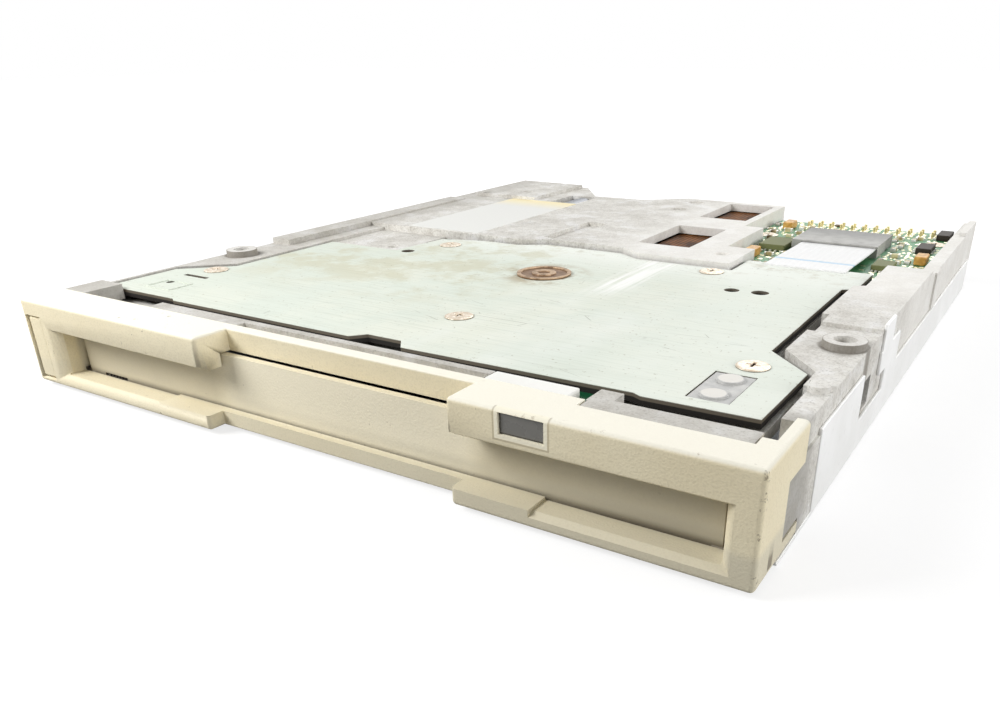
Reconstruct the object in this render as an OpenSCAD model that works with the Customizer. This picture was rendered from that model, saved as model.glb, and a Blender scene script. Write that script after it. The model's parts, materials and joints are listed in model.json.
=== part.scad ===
// Slim floppy disk drive, lying on its cover with the spindle motor side up.
// Millimetres. X runs across the front, Y from the front face to the back, Z up from the floor.
// Inside the modules Y is measured from the front face of the bezel; place() centres the drive.

/* [Disk] */
// Width of the disk cartridge
disk_w = 90; // [88:0.5:91]
// Thickness of the disk cartridge
disk_t = 3.3; // [3:0.1:3.6]
// Distance from the disk's hub to its leading edge
disk_lead = 45.5; // [44:0.5:48]
// Offset of the disk's centre line from the middle of the bezel
disk_x = 1.4; // [1:0.1:1.6]
// Free room beside the disk in the holder, each side
disk_side = 0.4; // [0.2:0.1:0.6]
// Free room above the disk in the holder
disk_slack = 0.2; // [0.1:0.05:0.4]

/* [Stack of heights] */
// Thickness of the cover's sheet
lid_t = 0.4; // [0.3:0.05:0.6]
// Gap between the cover and the eject slide
slide_gap = 0.3; // [0.2:0.05:0.5]
// Thickness of the eject slide's sheet
slide_t = 0.5; // [0.4:0.05:0.7]
// Gap between the slide and the holder, where the shutter lever turns
lever_room = 0.75; // [0.7:0.05:1]
// Thickness of the holder's sheet
holder_t = 0.4; // [0.3:0.05:0.5]
// Height by which the holder lifts the disk to the motor
lift = 1.5; // [1.2:0.1:1.8]
// Gap between the lifted holder and the chassis web
web_clear = 0.25; // [0.2:0.05:0.5]
// Thickness of the chassis web
web_t = 1.4; // [1.2:0.1:1.8]
// Height of the bosses under the motor plate
plate_gap = 0.8; // [0.7:0.1:1.2]
// Thickness of the motor plate
plate_t = 1; // [0.8:0.1:1.2]
// Height of the rear deck over the motor plate
deck_rise = 0.8; // [0.7:0.1:1.2]
// Thickness of the rear deck
deck_t = 1.4; // [1.1:0.1:1.5]
// Height of the side rails over the motor plate
rail_rise = 0.7; // [0.5:0.1:0.8]

/* [Bezel] */
// Width of the bezel beside the disk, each side
bezel_side = 5.8; // [5.6:0.05:6.5]
// Height of the bezel
bezel_h = 11.5; // [11.4:0.1:12]
// Depth of the bezel's lips, front to back
bezel_d = 6; // [5.8:0.1:7]
// Height of the bezel's bottom edge over the floor
bezel_lift = 0.5; // [0.4:0.05:0.6]
// Thickness of the bezel's floor under the flap
bezel_floor = 0.6; // [0.5:0.05:0.7]
// Depth of the lips in front of the flap
lip_d = 3.2; // [2.8:0.1:3.4]
// Room between the disk and the throat, each side
throat_side = 1.1; // [0.8:0.1:1.2]
// Bevel round the mouth, sideways
mouth_bevel = 1.1; // [0.6:0.1:1.3]
// Depth of the bevel round the mouth
mouth_bevel_d = 1.3; // [0.8:0.1:2]
// Width of the finger notch
notch_w = 35.6; // [20:0.2:36]
// Middle of the finger notch
notch_x = 2.1; // [0:0.1:2.4]
// Depth of the notch in the upper lip
notch_d = 4.7; // [4.5:0.1:4.9]
// Depth of the notch in the lower lip
lower_notch_d = 2.2; // [1:0.1:2.4]
// Length of the lower lip's raised pads beside the notch
lip_pad = 9; // [4:0.5:12]
// Height of the pads over the rest of the lower lip
lip_step = 0.3; // [0.1:0.05:0.4]
// Length of the bezel's ears behind the lips
ear_len = 5.5; // [5:0.1:7]
// Thickness of the ears
ear_t = 1.2; // [1:0.1:1.4]
// Height of the ear slot that the chassis hook catches in
hook_h = 5.6; // [4:0.2:6]

/* [Eject button] */
// Width of the button
button_w = 2.8; // [2.2:0.1:2.9]
// Gap round the button in its recess
button_gap = 0.25; // [0.2:0.05:0.35]
// Height of the button
button_h = 8.3; // [6:0.1:8.6]
// Set-back of the button's face
button_back = 0.2; // [0:0.1:0.6]
// Thickness of the bezel wall outside the button
button_wall = 0.6; // [0.5:0.05:0.7]
// Travel of the button and the slide
slide_travel = 5; // [4:0.5:6]

/* [Flap] */
// Thickness of the flap
flap_t = 0.9; // [0.7:0.05:1]
// Height by which the flap reaches up behind the upper lip
flap_over = 1.4; // [0.4:0.1:1.5]
// Gap beside the flap in the throat
flap_side = 0.8; // [0.5:0.1:1]
// Gap before, behind and under the flap
flap_gap = 0.25; // [0.2:0.05:0.3]
// Radius of the flap's hinge pins
flap_pin_r = 0.6; // [0.5:0.05:0.65]
// Radial clearance of the running fits
run_fit = 0.05; // [0.03:0.01:0.08]

/* [Indicator] */
// Middle of the lens across the bezel
lens_x = 28.25; // [26:0.25:32]
// Width of the lens
lens_w = 4.9; // [4:0.1:6]
// Height of the lens
lens_h = 2.2; // [1.6:0.1:2.3]
// Depth of the bezel's top over the lens
lens_top = 0.35; // [0.3:0.05:0.6]
// Width of the lamp holder
lamp_w = 9.6; // [8:0.2:10]
// Depth of the lamp holder
lamp_d = 2.4; // [2:0.1:2.6]
// Thickness of the lamp board
lamp_board_t = 0.8; // [0.6:0.05:0.8]

/* [Chassis] */
// Thickness of the rear walls
wall_t = 1.2; // [1:0.1:1.6]
// Thickness of the left wall
left_wall = 1.2; // [1:0.1:1.4]
// Depth of the front bar
bar_d = 3.1; // [2.6:0.1:3.2]
// Wall between the mounting bosses and the chassis side
boss_edge = 0.2; // [0.1:0.05:0.4]
// Distance of the mounting bosses behind the face
boss_y = 35; // [33:0.5:38]
// Outer radius of the mounting bosses
boss_r = 2.4; // [2.2:0.1:2.4]
// Tapping radius of the mounting holes
mount_r = 1.25; // [1:0.05:1.4]
// Height of the boss rings over the rail
boss_rise = 0.4; // [0.2:0.1:0.6]
// Length of the deck windows
window_l = 17; // [12:0.5:17.5]
// Width of the deck windows
window_w = 9; // [6:0.5:9]

/* [Spindle motor] */
// Distance of the spindle behind the face
spindle_y = 48.3; // [48:0.1:50]
// Radius of the spindle shaft
shaft_r = 1.5; // [1.2:0.1:1.6]
// Outer radius of the rotor
rotor_r = 19.5; // [18:0.5:20]
// Thickness of the rotor's rim
rotor_rim = 1.2; // [1:0.1:1.4]
// Thickness of the rotor's plate
rotor_t = 0.4; // [0.3:0.05:0.5]
// Radial thickness of the magnet
magnet_t = 1.3; // [1:0.1:1.5]
// Air gap between magnet and stator
air_gap = 0.5; // [0.4:0.05:0.7]
// Number of coils
coil_count = 12; // [9:3:12]
// Radius of the chuck
chuck_r = 11; // [10:0.5:12]
// Thickness of the chuck
chuck_t = 0.9; // [0.8:0.05:1]
// Distance of the drive pin from the spindle
drive_r = 8; // [7.5:0.1:8.5]
// Stroke of the drive pin
drive_stroke = 0.6; // [0.4:0.05:0.6]
// Outer radius of the bush's flange
bush_r = 4; // [3.6:0.1:4.4]

/* [Head carriage] */
// Distance of the outer track from the spindle
track_r = 39.5; // [38.5:0.1:41]
// Travel of the heads over all tracks
head_travel = 14.8; // [13:0.1:15]
// Width of the carriage
carriage_w = 14.4; // [13:0.2:15]
// Height of the carriage
carriage_h = 2.2; // [2:0.1:2.3]
// Radius of the guide rods
rod_r = 0.9; // [0.8:0.05:1]
// Distance of the left rod from the disk's centre line
left_rod = 12.4; // [12:0.1:12.8]
// Distance of the right rod from the disk's centre line
right_rod = 10.8; // [10.6:0.1:10.9]
// Length of the carriage's bearing on the left rod
bearing_l = 12; // [8:0.5:13]
// Radius of the lead screw
screw_r = 0.95; // [0.8:0.05:1]
// Distance of the lead screw from the disk's centre line
screw_x = 27.2; // [26.5:0.1:27.5]
// Radius of the stepper motor
stepper_r = 3.2; // [3:0.1:3.2]
// Length of the stepper motor
stepper_l = 8.6; // [7:0.2:9]
// Width of the head arm
arm_w = 9; // [7:0.2:9.4]
// Thickness of the head arm
arm_t = 0.7; // [0.6:0.05:0.8]
// Radius of the arm's pivot pin
pivot_r = 0.8; // [0.7:0.05:0.9]

/* [Switches] */
// Radius of the plungers
plunger_r = 0.9; // [0.7:0.05:1]
// Stroke of the plungers
plunger_stroke = 0.8; // [0.5:0.1:0.9]
// Width of the switch unit in the plate's window
switch_w = 4.3; // [4:0.1:4.5]
// Length of the switch unit
switch_l = 8; // [7:0.1:8.4]

/* [Shutter lever] */
// Length of the lever, pivot to pin
lever_r = 20; // [18:0.5:21]
// Angle through which the lever swings
lever_swing = 62; // [50:1:64]
// Radius of the lever's shutter pin
lever_pin_r = 0.9; // [0.7:0.05:1]

/* [Main board] */
// Thickness of the main board
board_t = 1; // [0.8:0.1:1]
// Width of the flat cable
cable_w = 12; // [10:0.2:12.4]
// Thickness of the flat cable
cable_t = 0.2; // [0.15:0.05:0.25]
// Number of header pins in a row
header_pins = 12; // [8:1:12]
// Spacing of the header pins
header_pitch = 2; // [1.8:0.05:2]

/* [Hidden] */
$fn = 48;

cream = [0.86, 0.82, 0.70];
cast_grey = [0.72, 0.72, 0.71];
steel = [0.66, 0.67, 0.68];
mint = [0.80, 0.84, 0.79];
dark = [0.12, 0.12, 0.13];
copper = [0.62, 0.42, 0.28];
gold = [0.80, 0.69, 0.48];
green = [0.16, 0.42, 0.27];
white = [0.93, 0.93, 0.92];
mid_grey = [0.45, 0.45, 0.46];

// Heights from the floor, stacked from the cover upwards
slide_z = lid_t + slide_gap;
slide_top = slide_z + slide_t;
holder_z = slide_top + lever_room;
holder_top = holder_z + holder_t;
lip_z = holder_top + disk_t + disk_slack;
holder_height = lip_z + holder_t;
web_z = holder_height + lift + web_clear;
web_top = web_z + web_t;
plate_z = web_top + plate_gap;
plate_top = plate_z + plate_t;
deck_top = plate_top + deck_rise;
deck_z = deck_top - deck_t;
rail_top = plate_top + rail_rise;
tab_top = deck_top + 0.7;
bezel_top = bezel_lift + bezel_h;
flange_top = 5.4;

// Half widths of the disk bay about the disk's centre line, from the inside out
bay_half = disk_w / 2 + disk_side;
holder_half = bay_half + holder_t;
flange_in = holder_half + 0.3;
flange_out = flange_in + slide_t;
guide_half = flange_out + 0.4;
throat_half = disk_w / 2 + throat_side;
bezel_w = disk_w + 2 * bezel_side;
chassis_half = bezel_w / 2 - lid_t;
lx = -chassis_half;
rx = chassis_half;
boss_x = chassis_half - boss_r - boss_edge;

// Mouth and flap
throat_z = [holder_top + 0.05, web_z - 0.3];
flap_top = throat_z[1] + flap_over;
flap_z = bezel_lift + bezel_floor + 0.2 + flap_t / 2;
flap_y = lip_d + flap_gap + flap_t / 2;
flap_half = throat_half - flap_side;
flap_reach = flap_y + flap_top - flap_z;
flap_spring_x = disk_x - flap_half + 3.6;
flap_wire_pin = flap_t / 2 - 0.15;
swing_r = norm([flap_top - flap_z, flap_t / 2]);

// Rebate in the rear of the bezel's right lip, which the casting's rim reaches into
rebate_x = [lens_x + 3.3, rx - 2.1];
rebate_y = bezel_d - 1.6;
rebate_z = bezel_top - 1.3;

// Height of the bezel's left ear, which the casting covers
left_ear_top = web_z + 1.6;

// Places behind the face, from front to back
chassis_front = bezel_d + 0.2;
wall_front = bezel_d + ear_len + 0.3;
bar_back = chassis_front + bar_d;
holder_front = flap_reach + 1.25;
slide_front = holder_front + slide_travel;
pin_front = slide_front + 6.5;
disk_end = spindle_y + disk_lead;
holder_end = disk_end - 0.3;
pin_rear = holder_end - 15;
slide_end = pin_rear + slide_travel + 8;
head_y = spindle_y + track_r;
carriage_front = head_y - 4.1;
pivot_y = disk_end + head_travel + 2.9;
carriage_end = pivot_y + 2;
rod_end = carriage_end + 2.9;
rear_y = rod_end + wall_t;
left_rod_end = rear_y - 5.9;
drive_depth = rear_y + 3.4;
bearing_y = carriage_front + 9.8;
web_end = bearing_y - head_travel - 0.8;
rod_front = web_end - 2.8;
deck_front = spindle_y + 16.2;

// Holder pins and their cams
pin_r = 0.8;
pin_z = (holder_z + lip_z) / 2 - 0.3;
cam_r = pin_r + 0.1;
pin_rows = [pin_front, pin_rear];
pad_half = 3;

// Button
button_x = -bezel_w / 2 + button_wall + button_gap + button_w / 2;
button_z = [bezel_lift + bezel_floor + button_gap, bezel_lift + bezel_floor + button_gap + button_h];
button_end = bezel_d - 0.2;
strip_x = [button_x - slide_t / 2, button_x + slide_t / 2];
strip_z = [holder_z - 0.05, holder_height - 0.75];
strip_front = 3.5;

// Motor
core_r = rotor_r - rotor_rim - magnet_t - air_gap;
rotor_z = web_z - 0.1;
chuck_z = rotor_z - chuck_t;
swing_y = flap_y + sqrt(swing_r * swing_r - (web_z - flap_z) * (web_z - flap_z)) + 0.4;
swing_z = flap_z + sqrt(swing_r * swing_r - (chassis_front - flap_y) * (chassis_front - flap_y)) + 0.2;
plate_screw_r = 0.8;
head_h = 0.12;
dome_h = 0.12;
cross_d = 0.5;
plate_front = bar_back + 2.7;
plate_holes = [[disk_x + 27, spindle_y + 4.7, 1.05], [disk_x + 30.8, spindle_y + 5.2, 1.2],
    [disk_x - 27.9, spindle_y + 2.7, 1.1]];
function round_spindle(r, angle) = [disk_x + r * cos(angle), spindle_y + r * sin(angle)];
screw_spots = [
    [lx + 7.1, plate_front + 14], round_spindle(rotor_r + 4.7, 275.5), [rx - 9.2, plate_front + 12.5],
    round_spindle(rotor_r + 6.8, 158.3), round_spindle(rotor_r + 5.1, 32.2)
];

// Carriage, rods and stepper
rod_z = web_z + 0.6;
left_rod_x = disk_x - left_rod;
right_rod_x = disk_x + right_rod;
lead_x = disk_x - screw_x;
carriage_z = [rod_z - 1, rod_z - 1 + carriage_h];
carriage_x = [disk_x - carriage_w / 2, disk_x + carriage_w / 2];
bearing_z = [rod_z - rod_r - 0.3, rod_z + rod_r + 0.4];
nut_z = [rod_z - screw_r - 0.25, rod_z + screw_r + 0.35];
divider_x = right_rod_x + 2.3;
step_x = divider_x + 4.7;
corner_x = divider_x + 9.2;
nut_y = bearing_y + 4.4;
nut_half = 1.8;
bracket_t = 0.6;
bracket_back = nut_y + nut_half + 0.4;
stepper_front = bracket_back + bracket_t;
stepper_end = stepper_front + stepper_l;
bracket_front = nut_y - nut_half - head_travel - 1.3;
arm_z = lid_t + 0.5;
pivot_z = arm_z + 1.5;
pivot_hub_r = 1.5;
ear_w = 2;

// Switches: the unit in the plate's window and the one under the plate's left corner
switch_x = rx - 9.85;
switch_y = plate_front + 5.4;
detect_ys = [switch_y - 2.3, switch_y + 2.3];
disk_switch_x = disk_x - bay_half + 1.4;
disk_switch_y = plate_front + 5.8;
plunger_tip = web_z - 1.5;
plunger_top = plunger_tip + 3.5;

// Shutter lever
lever_x = disk_x - 15.4;
lever_y = disk_end + 6.2;
lever_start = 255;
lever_hub_r = 3;
rivet_r = 1.2;
lever_z = [slide_top + 0.15, holder_z - 0.25];

// Main board
board_z = web_z + 0.6;
board_top = board_z + board_t;
board_front = deck_front + 3.5;
board_end = rear_y - 2.1;
board_right = disk_x + guide_half - 0.2;
rail_in = rx - 6.3;
cable_mid = (step_x + board_right) / 2 - 0.3;
cable_x = [cable_mid - cable_w / 2, cable_mid + cable_w / 2];
connector_x = [cable_x[0] - 1.7, cable_x[1] + 0.3];
connector_y = [board_front + 21.3, board_front + 33];
connector_top = board_top + 1.9;
header_last = board_right - 3.4;
header_x = header_last - header_pitch * (header_pins - 1);
header_y = [board_end - 6, board_end - 2];
header_rows = [header_y[0] + 0.9, header_y[0] + 2.7];
board_screw_spots = [
    [board_right - 2.3, board_front + 11], [divider_x + 3.8, board_front + 32],
    [board_right - 2, board_end - 10.5]
];
amber_spots = [
    [divider_x + 5.3, board_end - 7.5], [board_right - 1.6, board_front + 21], [step_x + 2.2, board_front + 14]
];

// Basic shapes, each given by its spans
module block(x, y, z) {
    translate([x[0], y[0], z[0]]) cube([x[1] - x[0], y[1] - y[0], z[1] - z[0]]);
}
module post(x, y, z, r) {
    translate([x, y, z[0]]) cylinder(r = r, h = z[1] - z[0]);
}
module rod_along_y(x, y, z, r) {
    translate([x, y[0], z]) rotate([-90, 0, 0]) cylinder(r = r, h = y[1] - y[0]);
}
module rod_along_x(x, y, z, r) {
    translate([x[0], y, z]) rotate([0, 90, 0]) cylinder(r = r, h = x[1] - x[0]);
}
module slab(points, z) {
    translate([0, 0, z[0]]) linear_extrude(z[1] - z[0]) polygon(points);
}
module side_profile(points, x) {
    translate([x[0], 0, 0]) rotate([90, 0, 90]) linear_extrude(x[1] - x[0]) polygon(points);
}
module ring(x, y, z, outer, inner) {
    difference() {
        post(x, y, z, outer);
        post(x, y, [z[0] - 1, z[1] + 1], inner);
    }
}
// Both sides of the disk bay, from distance d0 to d1 off its centre line
module both_sides(d0, d1, y, z) {
    block([disk_x - d1, disk_x - d0], y, z);
    block([disk_x + d0, disk_x + d1], y, z);
}
// A coil spring along Z, as one tube
coil_rings = 8;
coil_sides = 6;
module coil(r, wire_r, turns, length) {
    steps = turns * coil_rings;
    middle = [
        for (i = [0:steps])
            let (a = 360 * i / coil_rings)
            [r * cos(a), r * sin(a), wire_r + (length - 2 * wire_r) * i / steps]
    ];
    least = min([
        for (i = [0:steps - coil_rings]) for (j = [i + coil_rings - 2:min(i + coil_rings + 2, steps)])
            norm(middle[i] - middle[j])
    ]) - 2 * wire_r;
    echo(str("least gap between the spring's turns: ", least));
    points = [
        for (i = [0:steps]) for (k = [0:coil_sides - 1])
            let (a = 360 * i / coil_rings, b = 360 * k / coil_sides, q = r + wire_r * cos(b))
            [q * cos(a), q * sin(a), wire_r + (length - 2 * wire_r) * i / steps + wire_r * sin(b)]
    ];
    sides = [
        for (i = [0:steps - 1]) for (k = [0:coil_sides - 1])
            let (a = i * coil_sides + k, b = i * coil_sides + (k + 1) % coil_sides)
            each [[a, a + coil_sides, b], [b, a + coil_sides, b + coil_sides]]
    ];
    first = [for (k = [1:coil_sides - 2]) [0, k, k + 1]];
    end = steps * coil_sides;
    last = [for (k = [1:coil_sides - 2]) [end, end + k + 1, end + k]];
    polyhedron(points, concat(sides, first, last));
}
module place() {
    translate([0, -drive_depth / 2, 0]) children();
}

// Outline of the motor plate, clockwise from its front left corner
plate_left = lx + 1;
plate_back = deck_front + 6.8;
plate_right = rx - 9.2;
plate_outline = [
    [plate_left, plate_front], [lx + 15.2, plate_front], [lx + 16.1, plate_front - 0.6],
    [disk_x - 4.2, plate_front - 0.6], [disk_x - 2.7, plate_front + 1.1], [disk_x + 2.3, plate_front + 1.1],
    [disk_x + 3.8, plate_front - 0.8], [rx - 16.7, plate_front - 0.3], [rx - 15.7, plate_front - 0.8],
    [rx - 3.9, plate_front - 0.6], [rx - 3.7, plate_front + 13], [plate_right, plate_front + 18.5],
    [plate_right, deck_front - 4], [plate_right + 1.7, deck_front - 3], [plate_right + 1.7, plate_back],
    [corner_x + 0.7, plate_back], [corner_x + 0.7, deck_front - 0.6], [disk_x + 7.4, deck_front - 0.6],
    [disk_x + 3.6, deck_front + 1.8], [disk_x - 10.4, deck_front + 1.8], [disk_x - 14.4, deck_front - 0.6],
    [disk_x - 21.4, deck_front - 0.8], [disk_x - 28.9, deck_front - 3], [disk_x - 29.9, deck_front - 12],
    [disk_x - 29.9, spindle_y + 2.2], [lx + 7.6, spindle_y + 2.2], [lx + 7.6, plate_front + 17.5],
    [plate_left, plate_front + 11.5]
];
// Rear edge of the deck and its wall, from the left corner to the divider
rear_outline = [
    [lead_x - 5.2, drive_depth], [lead_x + 2, rear_y - 6.5], [left_rod_x - 1.8, rear_y - 6], [left_rod_x + 6, rear_y]
];
// Outline of the rear deck
deck_outline = concat([
    [lx, deck_front], [disk_x - 14.2, deck_front], [disk_x - 10.4, deck_front + 2.5],
    [disk_x + 3.6, deck_front + 2.5], [disk_x + 7.6, deck_front], [corner_x, deck_front],
    [corner_x, deck_front + 11.5], [step_x, deck_front + 11.5], [step_x, disk_end],
    [divider_x + wall_t, disk_end], [divider_x + wall_t, rear_y]
], [for (i = [3:-1:0]) rear_outline[i]], [[lx, drive_depth]]);

// Cast body
module left_rail() {
    slab([[lx, wall_front], [plate_left - 0.4, wall_front], [plate_left - 0.4, plate_front + 12],
        [lx + 7.1, plate_front + 18], [lx + 7.1, deck_front], [lx, deck_front]], [web_z, rail_top - 0.5]);
    block([lx, lx + 3.9], [boss_y + 9, deck_front + 30], [web_z, deck_top + 0.3]);
    block([lx + 3, disk_x - 30.4], [spindle_y + 3, deck_front], [web_z, plate_top - 0.3]);
}
module right_rail() {
    rear_part = [[rx, deck_front + 10.5], [rail_in, deck_front + 10.5], [rail_in, deck_front - 3.2],
        [plate_right + 1.4, deck_front - 4]];
    slab(concat([[rx - 3, wall_front], [rx, wall_front]], rear_part,
        [[plate_right + 1.4, plate_front + 18.9], [rx - 3, plate_front + 13.3]]), [web_z, rail_top - 0.4]);
    post(rx - 1.4, plate_front + 8.5, [web_top, rail_top + 0.2], 1.2);
    block([rx - 0.5, bezel_w / 2 - 0.1], [deck_front + 13, deck_front + 16], [flange_top + 0.2, rail_top - 0.9]);
    slab(concat([[rx, spindle_y - 6.5]], rear_part, [[plate_right + 1.4, spindle_y - 6.5]]), [web_z, rail_top]);
}
module web() {
    slab([[lx, wall_front], [lx + ear_t, wall_front], [lx + ear_t, chassis_front],
        [rx - ear_t, chassis_front], [rx - ear_t, wall_front], [rx, wall_front],
        [rx, board_front - 0.5], [corner_x - wall_t, board_front - 0.5], [corner_x - wall_t, deck_front + 11.5],
        [step_x, deck_front + 11.5], [step_x, web_end], [lx, web_end]], [web_z, web_top]);
}
module walls() {
    block([lx, lx + left_wall], [wall_front, deck_front + 1], [lid_t, web_top]);
    block([lx, lx + left_wall], [deck_front, drive_depth], [lid_t, deck_z]);
    block([disk_x + guide_half, rx], [wall_front, drive_depth], [lid_t, rail_top - 0.9]);
    block([rx - wall_t, rx], [drive_depth - 13, drive_depth], [lid_t, deck_top - 0.5]);
    for (y = pin_rows)
        block([lx, disk_x - guide_half], [y - pad_half, y + pad_half], [lid_t, web_z]);
    slab(concat([[lx, drive_depth]], rear_outline, [[divider_x + wall_t, rear_y],
        [divider_x + wall_t, disk_end + 0.4], [divider_x, disk_end + 0.4], [divider_x, rod_end],
        [left_rod_x + 6.5, rod_end], [left_rod_x - 1.4, rear_y - 6 - wall_t], [lead_x + 1.4, rear_y - 6.5 - wall_t],
        [lead_x - 5.8, drive_depth - wall_t], [lx, drive_depth - wall_t]]), [lid_t, deck_z]);
    block([step_x - wall_t, step_x], [web_end - 2, disk_end], [web_z, deck_z]);
    block([corner_x - wall_t, corner_x], [deck_front + 0.2, deck_front + 11.5], [web_z, deck_z]);
    block([step_x - wall_t, corner_x], [deck_front + 11.5 - wall_t, deck_front + 11.5], [web_z, deck_z]);
    block([divider_x, step_x], [disk_end - wall_t, disk_end + 0.5], [web_z, deck_z]);
}
module hook() {
    for (s = [-1, 1])
        mirror([s < 0 ? 1 : 0, 0, 0]) {
            block([chassis_half - left_wall, bezel_w / 2 - 0.1], [bezel_d + 1.2, wall_front + 4.7],
                [web_z - 0.2 - hook_h, web_z - 0.2]);
            block([chassis_half, bezel_w / 2 - 0.1], [wall_front, wall_front + 4.7], [lid_t, web_z + 0.7]);
        }
}
module ledges() {
    block([disk_x + bay_half, disk_x + guide_half + 1], [deck_front + 10, board_end], [web_z - 0.1, board_z]);
    block([divider_x + 0.5, divider_x + 4.4], [board_front + 30, header_y[0] - 0.5], [web_z - 0.1, board_z]);
    for (s = board_screw_spots)
        if (s[1] > disk_end + 3) post(s[0], s[1], [web_z - 4, board_z], 1.9);
        else post(s[0], s[1], [web_z - 0.1, board_z], 1.9);
}
module chassis() color(cast_grey) place() difference() {
    union() {
        web();
        walls();
        hook();
        ledges();
        left_rail();
        right_rail();
        block([lx + ear_t, rx - ear_t], [chassis_front, bar_back], [web_z, rail_top]);
        block([lx, lx + 4.6], [chassis_front, wall_front + 0.1], [left_ear_top + 0.2, rail_top]);
        block([rebate_x[0] + 0.2, rebate_x[1] - 0.2], [rebate_y + 0.2, chassis_front + 0.1],
            [rebate_z + 0.2, rail_top]);
        slab(deck_outline, [deck_z, deck_top]);
        slab([[lx + 2.6, drive_depth - 21], [lead_x - 6.7, drive_depth - 21], [lead_x - 6.2, drive_depth - 1],
            [lx + 2.6, drive_depth - 0.5]],
            [deck_z, tab_top]);
        for (s = screw_spots) post(s[0], s[1], [web_z, plate_z], 2.2);
        for (s = [-1, 1]) post(s * boss_x, boss_y, [web_z, rail_top + boss_rise], boss_r);
        for (x = [left_rod_x, right_rod_x])
            block([x - 2.2, x + 2.2], [rod_front - 1, web_end], [web_z, rod_z]);
    }
    // Rotor well, and the way of the carriage, its bearing and the lead nut
    post(disk_x, spindle_y, [web_z - 1, plate_z + 0.1], rotor_r + 1);
    block([carriage_x[0] - 0.9, carriage_x[1] + 0.9], [spindle_y + 10, web_end + 1], [web_z - 1, deck_z]);
    block([left_rod_x - rod_r - 0.05, left_rod_x + rod_r + 0.05], [rod_front, left_rod_end + 0.05],
        [rod_z - rod_r - 0.05, deck_z]);
    block([right_rod_x - rod_r - 0.05, right_rod_x + rod_r + 0.05], [rod_front, rod_end],
        [rod_z - rod_r - 0.05, deck_z]);
    // Holes under those of the plate
    for (p = plate_holes) post(p[0], p[1], [web_z - 1, web_top + 1], p[2] + 0.3);
    // Tapped holes
    for (s = screw_spots) post(s[0], s[1], [web_z - 1, plate_z + 1], plate_screw_r + 0.05);
    for (s = [-1, 1]) post(s * boss_x, boss_y, [web_top - 0.2, tab_top], mount_r);
    for (s = board_screw_spots) post(s[0], s[1], [web_z - 3, board_z + 1], plate_screw_r + 0.05);
    for (s = clamp_screw_spots) post(s[0], s[1], [web_z - 1, web_top + 1], plate_screw_r + 0.05);
    for (s = bracket_screw_spots) post(s[0], s[1], [deck_z - 1, deck_top - 0.2], plate_screw_r + 0.05);
    post(disk_x - 33.2, spindle_y + 5.2, [web_top, plate_top], 0.9);
    // Guide grooves of the holder pins
    for (y = pin_rows)
        both_sides(guide_half - 1, guide_half + 1.1, [y - cam_r, y + cam_r],
            [pin_z - cam_r, pin_z + lift + cam_r]);
    // Openings under the plate for the switches
    block([switch_x - switch_w / 2 - 0.3, switch_x + switch_w / 2 + 0.3],
        [switch_y - switch_l / 2 - 0.3, switch_y + switch_l / 2 + 0.3], [web_z - 1, web_top + 1]);
    block([disk_switch_x - 2.3, disk_switch_x + 2.3], [disk_switch_y - 2.6, disk_switch_y + 2.6],
        [web_z - 1, web_top + 1]);
    // Openings before the plate, at its right front corner and along its right edge
    block([lx + 4.6, lx + 18.2], [chassis_front - 1, plate_front - 0.4], [web_z - 1, rail_top + 1]);
    block([lens_x + 5.7, rx - 2.3], [chassis_front + 1, plate_front - 0.4], [web_z - 1, rail_top + 1]);
    block([rx - 3.8, rx - 2.3], [bar_back - 0.5, plate_front + 9], [web_z - 1, rail_top + 1]);
    block([rx - 2.3, rx - ear_t + 1], [chassis_front - 1, bar_back + 0.4], [web_top, rail_top + 1]);
    block([plate_right - 0.3, plate_right + 1.3], [plate_front + 20, deck_front - 5], [web_z - 1, web_top + 1]);
    block([plate_right - 0.3, plate_right + 2.3], [spindle_y - 9.2, spindle_y - 3], [web_z - 1, rail_top + 1]);
    // Step along the rear of the front bar
    block([lx + 18.1, lens_x + 1.6 - lamp_w], [chassis_front + 2.2, bar_back + 0.1], [web_top, rail_top + 1]);
    // Opening in the right wall behind the cover's window
    block([disk_x + guide_half - 1, rx + 1], [spindle_y - 14, spindle_y - 9.5], [4.2, web_z - 0.4]);
    // Seat of the lamp board
    block([lens_x + 1.5 - lamp_w - 0.2, lens_x + 3.3], [chassis_front - 1, plate_front + 3],
        [web_top, rail_top + 1]);
    // Room for the flap as it swings in
    block([disk_x - flap_half - 0.4, disk_x + flap_half + 0.4], [chassis_front - 1, swing_y], [web_z - 1, swing_z]);
    block([notch_x - notch_w / 2, notch_x + notch_w / 2], [chassis_front - 1, chassis_front + 1.2],
        [rail_top - 1, rail_top + 1]);
    // Deck windows over the carriage and the stepper, and a shallow groove
    for (y = [deck_front + 7.5, rod_end - window_l - 0.8])
        block([divider_x - 0.3 - window_w, divider_x - 0.3], [y, y + window_l], [deck_z - 1, deck_top + 1]);
    block([lead_x - 3, lead_x + 3], [stepper_front - 0.2, stepper_end + 0.3], [deck_z - 1, deck_top + 1]);
    block([disk_x - 12.2, disk_x - 8.2], [deck_front + 3.5, deck_front + 19.5], [deck_top - 0.7, deck_top + 1]);
    // Small holes and shallow dimples in the deck
    for (p = [[lx + 12.6, drive_depth - 15], [lx + 5.2, drive_depth - 20]])
        post(p[0], p[1], [deck_z - 1, tab_top + 1], 0.9);
    for (p = [[disk_x - 3, rear_y - 4, 1.5], [disk_x - 3, rear_y - 13, 1.5], [disk_x + 19, deck_front + 5.7, 1.1]])
        post(p[0], p[1], [deck_top - 0.35, tab_top + 1], p[2]);
}

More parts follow.
